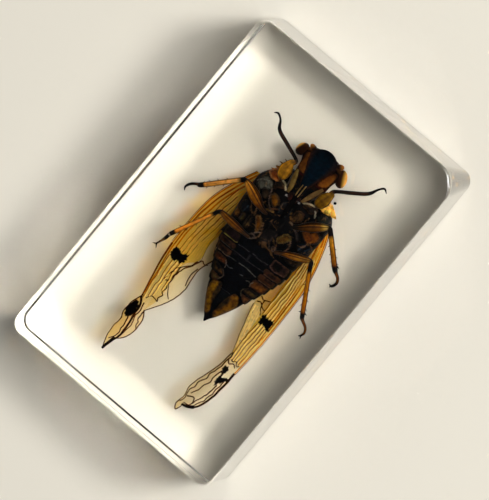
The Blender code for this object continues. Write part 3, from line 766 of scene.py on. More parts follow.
ABDOMEN_LINES = (
    (((-6.9, -4.1), (-5.3, -4.0), (-4.1, -4.0), (-3.7, -3.8)), 0.12, 0.1, dye(112, 104, 44)),
    (((-6.6, -5.5), (-5.2, -5.5), (-3.6, -5.5)), 0.12, 0.05, dye(54, 44, 38)),
    (((-5.9, -7.1), (-5.2, -6.95), (-4.4, -7.1), (-3.7, -7.0)), 0.14, 0.05, dye(80, 62, 48)),
    (((-3.4, -7.8), (-3.0, -8.3), (-2.8, -9.0)), 0.13, 0.08, dye(86, 74, 62)),
    (((-4.7, -8.3), (-4.2, -8.1), (-3.7, -8.3)), 0.16, 0.03, dye(96, 44, 14)),
    (((-4.3, -9.4), (-3.6, -9.7)), 0.45, 0.0, SOOT),
    (((-2.9, -9.5), (-2.1, -10.4), (-2.6, -11.6)), 0.12, 0.08, dye(74, 62, 50)),
    (((3.8, -3.5), (4.1, -3.8), (4.9, -4.0), (6.0, -3.9), (7.0, -3.8)), 0.14, 0.08, dye(80, 56, 48)),
    (((3.8, -5.5), (5.2, -5.5), (6.7, -5.4)), 0.12, 0.05, dye(76, 50, 36)),
    (((3.6, -7.0), (4.9, -7.0), (6.2, -7.0)), 0.12, 0.05, dye(76, 50, 34)),
    (((3.1, -8.0), (2.9, -8.5), (3.0, -9.0)), 0.13, 0.08, dye(84, 70, 56)),
    (((3.4, -9.5), (4.7, -9.5)), 0.3, 0.0, SOOT),
    (((2.4, -10.1), (2.3, -10.7), (2.8, -11.4)), 0.12, 0.08, dye(70, 60, 44)),
    # the next eight faint grey lines across the middle are painted glints
    (((-3.3, -4.0), (-2.4, -3.9), (-1.6, -3.9), (-0.8, -3.9)), 0.1, 0.05, dye(44, 42, 44)),
    (((-0.1, -3.7), (0.9, -3.8), (2.1, -3.8), (3.3, -3.7)), 0.1, 0.05, dye(50, 48, 50)),
    (((-3.7, -5.4), (-1.8, -5.4), (0.8, -5.4), (3.5, -5.2)), 0.1, 0.05, dye(42, 38, 40)),
    (((-3.5, -6.9), (-2.7, -6.8), (-1.9, -6.8)), 0.11, 0.03, dye(50, 48, 46)),
    (((-1.1, -6.7), (0.5, -6.6), (2.1, -6.8), (2.9, -6.9)), 0.12, 0.05, dye(68, 68, 64)),
    (((-2.8, -8.4), (-2.2, -8.5), (-1.6, -8.3)), 0.13, 0.03, dye(66, 68, 68)),
    (((0.2, -8.3), (0.7, -8.2)), 0.12, 0.05, dye(66, 66, 70)),
    (((1.9, -8.5), (2.4, -8.3), (2.6, -8.5)), 0.13, 0.05, dye(58, 54, 50)),
    (((-0.2, -2.6), (-0.3, -5.6)), 0.12, 0.1, dye(40, 38, 40)),
    (((-2.5, -12.6), (-2.4, -14.2), (-1.6, -16.0), (-1.0, -17.2)), 0.95, 0.0, dye(112, 74, 6)),
    (((2.1, -12.6), (2.5, -13.6), (2.2, -15.0), (1.2, -16.9)), 1.0, 0.0, dye(100, 62, 6)),
    (((-5.9, -4.9), (-4.9, -4.9)), 0.4, 0.0, dye(20, 10, 9)),
    (((-5.6, -6.5), (-4.4, -6.5)), 0.4, 0.0, dye(26, 12, 8)),
    (((4.6, -5.1), (5.8, -5.0)), 0.4, 0.0, dye(30, 16, 12)),
    (((4.6, -6.2), (5.9, -6.2)), 0.35, 0.0, dye(34, 17, 9)),
)
# a brown hem across the back at each ring's end: shares of the half width, and v from the edge
BACK_HEM = ((-0.86, 0.1), (-0.3, 0.05), (0.3, 0.05), (0.86, 0.1))
ABDOMEN_BACK_LINES = tuple(
    (tuple((share * half, v + ahead) for share, ahead in BACK_HEM), 0.14, 0.02, dye(120, 74, 24))
    for v, half in RING_EDGES[1:])
abdomen_skin = dressed_body(
    abdomen_rows(), ground=dye(1, 3, 7), belly_marks=(ABDOMEN_PADS, ABDOMEN_LINES),
    back_marks=((), ABDOMEN_BACK_LINES))
abdomen_finish = cuticle_material(
    "abdomen_cuticle", mottle=0.65, grain=5000.0, relief=0.4, gloss=0.03, patches=dye(13, 9, 7))
insect_piece("cicada_abdomen", [abdomen_skin], abdomen_finish)


# Head. A blunt capsule with a great blue-black bulging face, ribbed across, under which the
# sucking muscles lie. Brown brow lobes and cheeks flank it, and a thin beak lies along the breast.
HEAD_MIDDLE = 9.3
# v, half width, height of the belly side and depth of the crown side
HEAD_ROWS = (
    (12.4, 3.3, 3.0, 2.8), (13.6, 3.5, 3.3, 3.0), (14.6, 3.6, 3.5, 3.2), (15.5, 3.8, 3.5, 3.4),
    (16.8, 4.3, 3.2, 3.3), (17.8, 4.2, 2.6, 2.8), (18.6, 3.4, 1.9, 1.9), (19.15, 1.9, 1.0, 0.9),
)
# v, u of the middle, half width, top height, bottom height
FACE_ROWS = (
    (19.8, -0.1, 0.5, 11.0, 10.0), (19.45, -0.1, 1.5, 11.9, 9.6), (18.6, -0.15, 2.5, 12.8, 9.4),
    (17.5, -0.2, 2.85, 13.3, 9.3), (16.2, -0.2, 2.6, 13.5, 9.3), (15.0, -0.2, 2.15, 13.5, 9.5),
    (13.8, -0.2, 1.65, 13.4, 9.8), (12.6, -0.25, 1.2, 13.15, 10.2), (11.3, -0.3, 0.6, 12.8, 10.8),
)
RIB_COUNT = 11
RIB_RISE = 0.06
# how fast the ribs grow towards the face's sides, and how much the bare middle takes off them
RIB_GROWTH = 2.2
RIB_BARE = 0.6
FACE_FOOT = 11.3
FACE_LENGTH = 8.5
FACE_BLUE = dye(3, 22, 33)
FACE_RUST = dye(46, 24, 16)
# share of the half width where the face's sides begin to be rusty, and are so in full
RUST_FROM = 0.5
RUST_FULL = 0.95
# v, and how rusty the face's sides are there; v, and how bright its blue is there, a painted sheen
RUSTY_SIDES = ((12.0, 1.0), (17.0, 1.0), (19.0, 0.2))
PAINTED_BLUE_SHEEN = ((11.0, 0.5), (13.5, 1.0), (16.0, 0.9), (18.5, 0.7), (19.5, 0.3))
NIGHT = dye(4, 9, 14)
PALE_EDGE = dye(140, 112, 66)
GREY_EDGE = dye(74, 66, 58)
CHEEK_PADS = (
    (((-3.8, 17.6), (-2.7, 18.0), (-2.2, 16.6), (-1.7, 15.2), (-1.4, 13.7), (-2.6, 13.5), (-3.7, 14.2),
      (-3.7, 15.6)), 0.3, dye(44, 22, 8), dye(102, 58, 18)),
    (((2.4, 16.8), (3.2, 17.4), (3.9, 16.6), (3.8, 15.4), (3.5, 14.2), (2.6, 13.5), (1.5, 13.5),
      (1.5, 14.8), (1.9, 15.9)), 0.3, dye(44, 22, 8), dye(112, 62, 16)),
    (((-1.9, 19.2), (-3.2, 19.0), (-4.1, 18.3), (-4.3, 17.7), (-3.4, 17.7), (-2.5, 18.2)), 0.3, UMBER,
     dye(76, 42, 10)),
    (((1.7, 19.2), (3.1, 18.9), (4.0, 18.2), (4.2, 17.6), (3.3, 17.6), (2.3, 18.1)), 0.3, UMBER,
     dye(60, 34, 12)),
)
CHEEK_LINES = (
    (((-3.9, 14.2), (-3.0, 13.5), (-1.6, 13.4)), 0.2, 0.1, dye(56, 14, 12)),
    (((3.9, 14.3), (3.0, 13.5), (1.4, 13.4)), 0.2, 0.1, dye(56, 16, 12)),
)
head_skin = dressed_body(
    flowing(HEAD_ROWS, count=80), ground=dye(34, 18, 10), belly_marks=(CHEEK_PADS, CHEEK_LINES),
    back_marks=((), ()))
head_skin[0][:, 2] += HEAD_MIDDLE - BODY_MIDDLE
face_rings = []
face_tints = []
for v, u, half, top, bottom in flowing(FACE_ROWS, count=110):
    middle = (top + bottom) / 2.0
    ring = oval(v, half, top - middle, middle - bottom, middle, u)
    out = np.abs(ring[:, 0] - u) / half
    rib = math.cos((v - FACE_FOOT) / FACE_LENGTH * RIB_COUNT * 2.0 * math.pi)
    sides_only = np.clip(out * RIB_GROWTH - RIB_BARE, 0.0, 1.0)
    ring[:, 2] += np.where(ring[:, 2] > middle, RIB_RISE * rib * sides_only, 0.0)
    face_rings.append(ring)
    rusty = eased(out, RUST_FROM, RUST_FULL)[:, None] * np.interp(v, *zip(*RUSTY_SIDES))
    # painted sheen: the face's blue is brightest in its middle and dimmer towards its ends
    sheen = np.interp(v, *zip(*PAINTED_BLUE_SHEEN))
    face_tints.append(np.array(FACE_BLUE) * sheen * (1.0 - rusty) + np.array(FACE_RUST) * rusty)


# painted shade and highlight on a thin rod: how bright its dye is from its underside (-1) to its top (1)
PAINTED_ROD_SHADING = ((-1.0, 0.12), (0.3, 0.15), (0.6, 0.9), (0.85, 1.25), (1.0, 0.75))


def onward(points, i):
    """The way that a row of points runs at one of them."""
    return points[min(i + 1, len(points) - 1)] - points[max(i - 1, 0)]


def bar(stations, color, sides=16, count=40):
    """A tapered rod along a few stations of u, v, z and radius, with painted shade beneath and a painted
    highlight on top.
    """
    stations = flowing(stations, count)
    points, radii = stations[:, :3], stations[:, 3]
    turns = 2.0 * math.pi * np.arange(sides) / sides
    rings = [hoop(point, *square_to(onward(points, i)), radii[i], turns) for i, point in enumerate(points)]
    light = np.interp(np.sin(turns), *zip(*PAINTED_ROD_SHADING))
    return skin(rings, np.array(color) * light[None, :, None])


head_skins = [
    head_skin,
    skin(face_rings, face_tints),
    # the beak's sheath, its two pale edges, and the thin front hips beside it
    bar(((-0.1, 13.2, 11.9, 0.8), (-0.2, 10.5, 12.6, 0.6), (-0.1, 7.6, 12.9, 0.42), (0.0, 4.6, 13.0, 0.3)),
        SOOT),
    bar(((-0.42, 12.3, 12.9, 0.1), (-0.46, 11.0, 13.15, 0.13), (-0.4, 9.7, 13.2, 0.1)), PALE_EDGE),
    bar(((0.18, 12.3, 12.9, 0.1), (0.16, 11.0, 13.15, 0.13), (0.12, 9.7, 13.2, 0.1)), PALE_EDGE),
    bar(((-3.0, 13.8, 12.2, 0.3), (-2.55, 12.2, 12.4, 0.52), (-2.1, 10.6, 12.5, 0.5),
         (-1.9, 9.3, 12.4, 0.25)), dye(118, 92, 46)),
    bar(((3.0, 13.6, 12.2, 0.3), (2.4, 12.2, 12.4, 0.52), (1.75, 10.7, 12.5, 0.5), (1.2, 9.4, 12.4, 0.25)),
        dye(134, 103, 60)),
    bar(((-3.3, 12.8, 12.4, 0.14), (-2.9, 10.9, 12.6, 0.16), (-2.7, 9.9, 12.5, 0.1)), GREY_EDGE),
    bar(((3.3, 12.6, 12.4, 0.14), (2.6, 10.9, 12.6, 0.16), (2.4, 10.2, 12.5, 0.1)), GREY_EDGE),
    # a black crumb that floats beside the collar's right flap
    bar(((5.98, 12.95, 12.0, 0.12), (6.14, 12.97, 12.0, 0.25), (6.38, 13.0, 12.0, 0.25),
         (6.54, 13.02, 12.0, 0.12)), NIGHT),
]
face_finish = cuticle_material("ribbed_face", mottle=0.3, grain=4000.0, relief=0.25, gloss=0.0)
insect_piece("cicada_head", head_skins, face_finish)


# Eyes. Two big beads set wide on the head, dark brown with a clear amber outer side that is
# painted bright for the light shining through it, two brown knobs between them and the face, where
# the feelers root, and three tiny simple eyes on the crown.
BEAD_RINGS = 30
# middle, half sizes, turn, where the amber side begins and is full
EYES = (
    ((-4.75, 17.1, 9.6), (1.1, 1.4, 1.5), -0.35, 0.5, 0.8),
    ((4.3, 17.05, 9.6), (1.15, 1.75, 1.5), 0.45, 0.1, 0.85),
)
KNOBS = (
    ((-3.05, 18.45, 10.3), (1.05, 0.6, 0.9), -0.45, 0.0, 0.9),
    ((2.75, 18.55, 10.4), (1.0, 0.65, 0.9), 0.6, 0.0, 0.9),
)
CROWN_BEADS = ((-0.9, 16.8, 6.1), (0.9, 16.8, 6.1), (0.0, 17.6, 6.4))
CROWN_BEAD_SIZES = (0.25, 0.25, 0.25)
EYE_BROWN = dye(52, 24, 6)
# the eyes' own amber, made brighter as a painted glow of light shining through it
EYE_AMBER_AND_GLOW = dye(255, 186, 74)
KNOB_BROWN = dye(40, 20, 6)
KNOB_AMBER = dye(160, 96, 30)
# the first ring's share of the way from pole to pole
BEAD_POLE = 0.03


def bead(middle, half_sizes, turn, inner, outer, amber_from=0.0, amber_full=0.5, sides=48):
    """An egg-shaped skin, turned about the upright, that changes its dye towards the outer side."""
    around = 2.0 * math.pi * np.arange(sides) / sides
    rings, tints = [], []
    for share in np.linspace(BEAD_POLE, 1.0 - BEAD_POLE, BEAD_RINGS):
        polar = share * math.pi
        x = half_sizes[0] * math.sin(polar) * np.cos(around)
        y = half_sizes[1] * math.cos(polar)
        z = half_sizes[2] * math.sin(polar) * np.sin(around)
        u = middle[0] + x * math.cos(turn) - y * math.sin(turn)
        v = middle[1] + x * math.sin(turn) + y * math.cos(turn)
        rings.append(np.column_stack([u, v, middle[2] + z]))
        out = eased(x / half_sizes[0] * math.copysign(1.0, middle[0]), amber_from, amber_full)[:, None]
        tints.append(np.array(inner) * (1.0 - out) + np.array(outer) * out)
    return skin(rings, tints)


eye_skins = [bead(at, sizes, turn, EYE_BROWN, EYE_AMBER_AND_GLOW, *amber) for at, sizes, turn, *amber in EYES]
eye_skins += [bead(at, sizes, turn, KNOB_BROWN, KNOB_AMBER, *amber) for at, sizes, turn, *amber in KNOBS]
eye_skins += [bead(at, CROWN_BEAD_SIZES, 0.0, RUST, RUST, sides=16) for at in CROWN_BEADS]
eye_finish = cuticle_material("faceted_eye", mottle=0.12, grain=9000.0, relief=0.4, gloss=0.03)
insect_piece("cicada_eyes", eye_skins, eye_finish)


# Legs. Hollow jointed rods of cuticle: a thick striped thigh, a shin with dark edges and fine
# spines, a foot of short black-tipped joints, and curled claws. The front thighs are the thickest,
# with short teeth.
LEG_SIDES = 40
LEG_ROWS = 150
THINNEST = 0.05
FRONT_THIGH_FLATNESS = 0.65
# u, v, z, radius at each station from the hip to the claw
LEGS = {
    "front_left": (
        (-4.5, 10.4, 12.0, 0.45), (-4.6, 11.2, 12.6, 1.1), (-4.75, 12.5, 12.8, 1.3),
        (-4.65, 13.9, 12.6, 0.78), (-4.3, 14.9, 12.4, 0.38), (-7.2, 16.1, 11.7, 0.38),
        (-10.1, 17.3, 11.0, 0.36), (-11.2, 18.9, 10.6, 0.2), (-12.3, 19.6, 10.4, 0.2),
        (-13.0, 19.2, 10.2, 0.07),
    ),
    "front_right": (
        (3.9, 10.4, 12.0, 0.5), (4.05, 11.2, 12.6, 1.12), (4.35, 12.4, 12.8, 1.3), (4.75, 13.7, 12.6, 0.76),
        (4.95, 14.7, 12.4, 0.38), (7.6, 16.4, 11.7, 0.38), (10.0, 18.1, 11.0, 0.36),
        (11.0, 19.8, 10.6, 0.2), (11.8, 20.6, 10.4, 0.2), (12.6, 20.1, 10.2, 0.07),
    ),
    "middle_left": (
        (-2.4, 3.7, 12.2, 0.4), (-3.9, 4.0, 12.9, 0.6), (-6.0, 4.9, 13.2, 1.1), (-7.8, 5.7, 13.0, 0.95),
        (-9.4, 6.2, 12.7, 0.5), (-10.3, 5.6, 12.4, 0.5), (-15.3, 0.6, 10.6, 0.5), (-16.2, 0.05, 10.25, 0.3),
        (-17.3, -0.75, 9.95, 0.26), (-17.8, -1.75, 9.75, 0.2), (-17.5, -2.45, 9.7, 0.07),
    ),
    "middle_right": (
        (2.4, 4.6, 12.2, 0.4), (3.6, 5.3, 12.9, 0.6), (5.4, 6.8, 13.2, 0.98), (6.9, 7.9, 13.0, 0.85),
        (8.2, 8.7, 12.7, 0.5), (9.2, 7.9, 12.3, 0.5), (13.3, 3.5, 10.4, 0.52), (14.1, 2.8, 10.1, 0.36),
        (14.95, 2.2, 9.9, 0.3), (15.35, 1.3, 9.75, 0.3), (14.95, 0.3, 9.7, 0.24), (14.35, 0.4, 9.7, 0.07),
    ),
    "rear_left": (
        (-2.6, -1.7, 12.2, 0.4), (-4.0, -1.6, 12.7, 0.5), (-6.0, -1.5, 12.8, 0.8),
        (-8.0, -1.35, 12.5, 0.72), (-9.6, -1.3, 12.2, 0.45), (-10.6, -2.7, 11.8, 0.38),
        (-14.3, -9.7, 9.8, 0.44), (-14.75, -10.6, 9.6, 0.36), (-14.95, -11.6, 9.4, 0.34),
        (-15.3, -12.5, 9.2, 0.2), (-15.8, -13.7, 9.1, 0.16),
    ),
    "rear_right": (
        (2.9, -1.0, 12.2, 0.4), (4.2, -0.3, 12.7, 0.5), (6.3, 0.6, 12.8, 0.78), (7.8, 1.2, 12.5, 0.7),
        (9.3, 1.7, 12.2, 0.45), (10.1, 0.2, 11.8, 0.42), (13.8, -7.0, 9.7, 0.46), (14.4, -7.9, 9.5, 0.34),
        (15.7, -8.75, 9.3, 0.26), (16.2, -9.7, 9.2, 0.24), (15.95, -10.5, 9.1, 0.18),
        (15.6, -10.8, 9.1, 0.07),
    ),
}
# dye at station numbers along each leg
LEG_DYES = {
    "front_left": ((0, UMBER), (0.8, dye(150, 100, 18)), (3.0, dye(166, 110, 19)), (3.7, UMBER),
                   (4.0, SOOT), (4.3, dye(34, 22, 15)), (5.9, dye(52, 28, 20)), (6.05, SOOT), (9.0, SOOT)),
    "front_right": ((0, UMBER), (0.8, dye(118, 80, 8)), (3.0, dye(132, 90, 10)), (3.7, UMBER), (4.0, SOOT),
                    (4.3, dye(26, 16, 9)), (5.9, dye(52, 28, 16)), (6.05, SOOT), (9.0, SOOT)),
    "middle_left": ((0, UMBER), (1.0, UMBER), (1.5, dye(96, 54, 4)), (2.4, dye(140, 84, 12)),
                    (3.5, dye(176, 112, 30)), (3.9, SOOT), (4.9, SOOT), (5.1, dye(232, 164, 80)),
                    (5.9, dye(214, 138, 48)), (5.96, SOOT), (6.3, SOOT), (6.6, dye(64, 36, 16)),
                    (7.3, dye(50, 28, 12)), (7.6, SOOT), (10.0, SOOT)),
    "middle_right": ((0, SOOT), (1.0, COFFEE), (1.6, dye(64, 36, 4)), (2.4, dye(84, 50, 8)),
                     (2.9, dye(104, 62, 10)), (3.3, dye(160, 122, 44)), (3.6, dye(180, 144, 64)),
                     (3.85, SOOT), (5.0, SOOT), (5.12, dye(196, 130, 26)), (5.6, dye(176, 104, 16)),
                     (5.88, dye(120, 60, 10)), (5.97, SOOT), (6.6, SOOT), (7.0, dye(80, 42, 14)),
                     (7.6, dye(108, 58, 18)), (8.6, dye(84, 44, 14)), (9.4, SOOT), (11.0, SOOT)),
    "rear_left": ((0, UMBER), (1.0, UMBER), (1.5, dye(92, 52, 4)), (3.6, dye(120, 72, 18)), (3.95, SOOT),
                  (4.9, SOOT), (5.06, dye(240, 162, 60)), (5.9, dye(224, 134, 40)), (5.97, SOOT),
                  (6.7, SOOT), (6.95, dye(190, 166, 140)), (7.2, SOOT), (8.0, SOOT),
                  (8.5, dye(110, 66, 20)), (9.4, dye(60, 36, 14)), (9.8, SOOT)),
    "rear_right": ((0, UMBER), (1.0, UMBER), (1.5, dye(100, 58, 6)), (3.6, dye(128, 84, 24)), (3.85, SOOT),
                   (5.0, SOOT), (5.1, dye(176, 104, 10)), (5.6, dye(170, 96, 8)), (5.9, dye(130, 66, 10)),
                   (5.99, SOOT), (6.6, SOOT), (6.9, dye(84, 44, 14)), (8.0, dye(110, 58, 20)),
                   (9.2, dye(76, 40, 14)), (9.8, SOOT), (11.0, SOOT)),
}
# how bright the dye is from the tail side (-1) to the head side (1) of a thigh, a shin or a foot
FRONT_THIGH_STRIPES = (
    (-1.0, 0.1), (-0.86, 0.4), (-0.78, 1.9), (-0.6, 0.9), (-0.1, 0.75), (0.1, 0.5), (0.3, 1.2), (0.7, 1.0),
    (0.8, 0.4), (1.0, 0.3),
)
THIGH_STRIPES = (
    (-1.0, 0.2), (-0.85, 0.3), (-0.7, 0.9), (-0.3, 1.25), (-0.1, 1.1), (0.02, 0.12), (0.2, 0.12),
    (0.28, 2.2), (0.42, 2.2), (0.5, 0.1), (0.64, 0.1), (0.7, 1.1), (0.78, 0.1), (1.0, 0.2),
)
SHIN_STRIPES = (
    (-1.0, 0.2), (-0.8, 0.25), (-0.6, 0.9), (0.1, 1.0), (0.3, 1.4), (0.55, 1.2), (0.7, 0.25), (1.0, 0.2),
)
# strength and pace of the faint bands along a front thigh
BAND_LIGHT = 0.18
BAND_PACE = 0.55
# strength of the fine streaks over them, and their paces across and along the thigh
STREAK_LIGHT = 0.12
STREAK_PACE = 23.0
STREAK_SLANT = 0.2
# short teeth on the left front thigh, spurs at the shins' ends and split claws: root, tip, half width, dye
TEETH = (
    ((13.05, 3.8, 10.5), (12.65, 3.15, 10.4), 0.14, SOOT),
    ((13.55, 3.9, 10.5), (14.15, 3.75, 10.3), 0.14, SOOT),
    ((13.5, -6.7, 9.8), (12.95, -7.2, 9.7), 0.14, SOOT),
    ((14.0, -6.7, 9.8), (14.6, -6.85, 9.6), 0.14, SOOT),
    ((-15.0, 0.5, 10.6), (-15.6, 1.25, 10.5), 0.13, SOOT),
    ((-15.7, -13.5, 9.1), (-16.4, -13.85, 9.0), 0.13, SOOT),
    ((-15.7, -13.5, 9.1), (-15.25, -14.3, 9.0), 0.13, SOOT),
    ((16.0, -10.3, 9.1), (16.2, -11.15, 9.0), 0.12, SOOT),
    ((14.9, 0.4, 9.7), (14.7, -0.15, 9.7), 0.12, SOOT),
    ((-5.2, 13.6, 12.6), (-6.05, 13.85, 12.6), 0.16, dye(110, 70, 24)),
    ((-5.6, 12.9, 12.7), (-6.6, 12.9, 12.6), 0.18, dye(96, 58, 18)),
    ((-5.7, 12.1, 12.7), (-6.7, 11.9, 12.5), 0.18, dye(120, 78, 30)),
    ((-5.4, 11.3, 12.6), (-6.5, 10.9, 12.4), 0.18, dye(96, 56, 18)),
)
# the stations where a thigh ends, and where a shin begins and ends
KNEE = 4.0
SHIN = (5, 6)
# where spines stand along a shin, how far out they root and reach, how far they lean towards the
# foot, and their half width
SPINE_PLACES = (0.3, 0.42, 0.55, 0.67, 0.78, 0.88)
SPINE_ROOT = 0.3
SPINE_REACH = 0.78
SPINE_LEAN = 0.4
SPINE_HALF = 0.07


def leg_skin(name):
    """One leg through its stations, dyed along it and striped across."""
    stations = flowing([(*station, number) for number, station in enumerate(LEGS[name])], LEG_ROWS)
    stops = np.array([(number, *color) for number, color in LEG_DYES[name]])
    front = name.startswith("front")
    headward = -1.0 if name.endswith("right") else 1.0
    points, radii, numbers = stations[:, :3], np.maximum(stations[:, 3], THINNEST), stations[:, 4]
    turns = 2.0 * math.pi * (np.arange(LEG_SIDES) + 0.5) / LEG_SIDES
    across = np.cos(turns) * headward
    rings, tints = [], []
    for i, point in enumerate(points):
        side, upright = square_to(onward(points, i))
        if numbers[i] >= KNEE:
            share = np.interp(across, *zip(*SHIN_STRIPES))
        elif not front:
            share = np.interp(across, *zip(*THIGH_STRIPES))
        else:
            upright = upright * FRONT_THIGH_FLATNESS
            share = np.interp(across, *zip(*FRONT_THIGH_STRIPES))
            bands = BAND_LIGHT * math.sin(i * BAND_PACE)
            streaks = STREAK_LIGHT * np.cos(across * STREAK_PACE + i * STREAK_SLANT)
            share = share * (1.0 + bands + streaks)
        rings.append(hoop(point, side, upright, radii[i], turns))
        color = np.array([np.interp(numbers[i], stops[:, 0], stops[:, k]) for k in (1, 2, 3)])
        tints.append(color * share[:, None])
    return skin(rings, tints)


def shin_spines(name):
    """Fine spines along a shin, on its two sides by turns."""
    start, end = (np.array(LEGS[name][station][:3]) for station in SHIN)
    along = (end - start) / np.linalg.norm(end - start)
    side = np.cross(along, (0.0, 0.0, 1.0))
    spines = []
    for k, share in enumerate(SPINE_PLACES):
        root = start + (end - start) * share
        out = side * (-1.0) ** k
        tip = root + out * SPINE_REACH + along * SPINE_LEAN
        spines.append(spike(root + out * SPINE_ROOT, tip, SPINE_HALF, COFFEE, sides=6))
    return spines


leg_skins = [leg_skin(name) for name in LEGS] + [spike(*tooth) for tooth in TEETH]
for name in ("middle_left", "middle_right", "rear_left", "rear_right"):
    leg_skins += shin_spines(name)
leg_finish = cuticle_material("striped_cuticle", mottle=0.38, grain=6000.0, relief=0.25, gloss=0.05)
insect_piece("cicada_legs", leg_skins, leg_finish)


# Wings. Two pairs of clear amber films, folded like a roof along the body, the hind pair under
# the front pair. Each is one thin sheet of dried skin; the front ones have dark blotches near their cross
# veins.
WING_FRONT_HEIGHT = 8.3
WING_SLOPE = 0.42
FILM = 0.05
FILM_ROWS = 300
FILM_COLUMNS = 56
HIND_BELOW = 0.35
FILM_CLEARNESS = 1.0
FILM_IOR = 1.01
# v, u at the front edge, u at the hind edge
LEFT_FOREWING = (
    (8.6, -8.9, -6.6), (4.9, -10.6, -5.8), (1.2, -12.1, -6.2), (-2.1, -12.9, -6.8), (-7.5, -13.4, -7.8),
    (-11.4, -13.5, -7.6), (-13.4, -13.4, -9.3), (-15.6, -13.2, -9.5), (-19.4, -12.6, -9.2),
    (-22.3, -12.1, -9.3), (-24.7, -12.6, -10.0), (-26.3, -13.0, -9.4), (-28.0, -12.8, -9.1),
    (-29.4, -12.7, -9.2), (-31.2, -12.8, -10.0), (-33.0, -12.7, -11.3), (-35.3, -12.0, -11.9),
)
RIGHT_FOREWING = (
    (8.0, 8.1, 6.6), (5.9, 9.1, 5.8), (2.9, 10.0, 6.6), (-0.5, 10.8, 7.2), (-4.5, 11.3, 7.5),
    (-9.6, 11.3, 7.6), (-15.0, 11.2, 7.7), (-19.7, 10.9, 7.7), (-23.9, 10.5, 7.2), (-26.5, 10.3, 6.5),
    (-29.5, 9.9, 5.5), (-31.7, 9.3, 5.2), (-33.3, 8.4, 5.4), (-34.4, 6.3, 5.2), (-35.8, 5.8, 5.6),
)
LEFT_HINDWING = (
    (6.0, -9.0, -5.6), (0.0, -10.5, -5.5), (-5.0, -11.0, -5.3), (-9.9, -10.9, -5.6), (-12.6, -10.8, -6.6),
    (-14.6, -10.7, -6.7), (-17.3, -10.5, -6.4), (-19.4, -10.4, -6.9), (-21.4, -10.3, -7.7),
    (-23.2, -10.2, -8.8), (-25.1, -10.2, -10.0),
)
RIGHT_HINDWING = (
    (6.0, 8.6, 5.8), (0.0, 9.4, 5.4), (-5.0, 9.4, 5.2), (-9.6, 9.3, 5.3), (-11.4, 9.2, 5.2),
    (-14.5, 8.9, 5.9), (-17.6, 8.5, 6.7), (-21.1, 7.9, 7.7),
)
# v, dye of the light that comes through at the front edge and at the hind edge
LEFT_FORE_DYES = (
    (-36.0, dye(255, 236, 180), dye(255, 238, 190)), (-24.0, dye(255, 230, 155), dye(255, 236, 190)),
    (-20.0, dye(255, 236, 150), dye(255, 241, 186)), (-14.0, dye(255, 234, 142), dye(255, 238, 165)),
    (-10.0, dye(255, 224, 120), dye(255, 236, 128)), (0.0, dye(255, 222, 116), dye(255, 234, 122)),
    (8.6, dye(255, 218, 108), dye(255, 226, 116)),
)
RIGHT_FORE_DYES = (
    (-36.0, dye(255, 238, 180), dye(255, 238, 180)), (-33.0, dye(255, 246, 216), dye(255, 246, 216)),
    (-24.0, dye(255, 247, 222), dye(255, 246, 212)), (-20.0, dye(255, 234, 150), dye(255, 238, 172)),
    (-14.0, dye(255, 230, 130), dye(255, 236, 158)), (-10.0, dye(255, 222, 108), dye(255, 232, 140)),
    (0.0, dye(255, 214, 88), dye(255, 226, 120)), (8.6, dye(255, 204, 80), dye(252, 210, 100)),
)
LEFT_HIND_DYES = (
    (-26.0, dye(255, 246, 215), dye(255, 246, 215)), (-13.0, dye(255, 244, 208), dye(255, 245, 212)),
    (-11.0, dye(255, 244, 215), dye(255, 240, 205)), (6.0, dye(255, 248, 232), dye(255, 240, 200)),
)
RIGHT_HIND_DYES = (
    (-22.0, dye(255, 244, 190), dye(255, 244, 190)), (-12.0, dye(255, 244, 190), dye(255, 244, 190)),
    (-9.0, dye(255, 240, 200), dye(255, 236, 185)), (6.0, dye(252, 236, 190), dye(252, 230, 175)),
)
# Dark blotches of pigment in the front wings, two in the left one and then the right one's
SPOTS = (
    ((-12.6, -12.1), (-12.1, -11.8), (-11.4, -12.0), (-10.9, -12.4), (-10.4, -12.0), (-9.7, -11.9),
     (-9.6, -12.8), (-9.8, -13.6), (-10.3, -14.0), (-10.8, -13.7), (-11.3, -14.4), (-11.8, -14.0),
     (-12.5, -13.8), (-12.6, -12.9)),
    ((-12.1, -24.2), (-11.4, -24.8), (-11.2, -26.0), (-11.5, -27.3), (-12.2, -27.8), (-12.8, -27.1),
     (-13.0, -25.9), (-12.7, -24.7)),
    ((8.1, -11.9), (8.5, -11.6), (9.0, -12.0), (9.4, -11.8), (9.9, -11.7), (10.5, -11.7), (10.5, -12.7),
     (10.6, -13.7), (10.1, -14.2), (9.8, -13.7), (9.1, -13.5), (8.3, -13.6), (8.0, -12.8)),
    ((8.2, -23.8), (9.0, -23.6), (9.1, -24.4), (8.8, -25.1), (8.2, -25.0)),
    ((9.9, -25.3), (9.9, -26.2), (9.3, -27.0), (8.9, -27.9), (8.5, -27.3), (8.4, -26.1), (8.8, -25.6),
     (9.2, -25.9)),
)
LEFT_SPOTS = 2
# darker still than the night-blue of the crumb
SPOT_DYE = tuple(tone * 0.3 for tone in NIGHT)
SPOT_EDGE = 0.08
# reach and paces of the wavering edge of a blotch
SPOT_WAVER = (0.16, 7.3, 3.1, 6.1, 4.7)


def wing_height(u, v):
    """Height of the roof that the wings make, over a place on it."""
    table = np.array(LEFT_FOREWING if u < 0.0 else RIGHT_FOREWING)[::-1]
    front = np.interp(v, table[:, 0], table[:, 1])
    return WING_FRONT_HEIGHT - WING_SLOPE * abs(u - front)


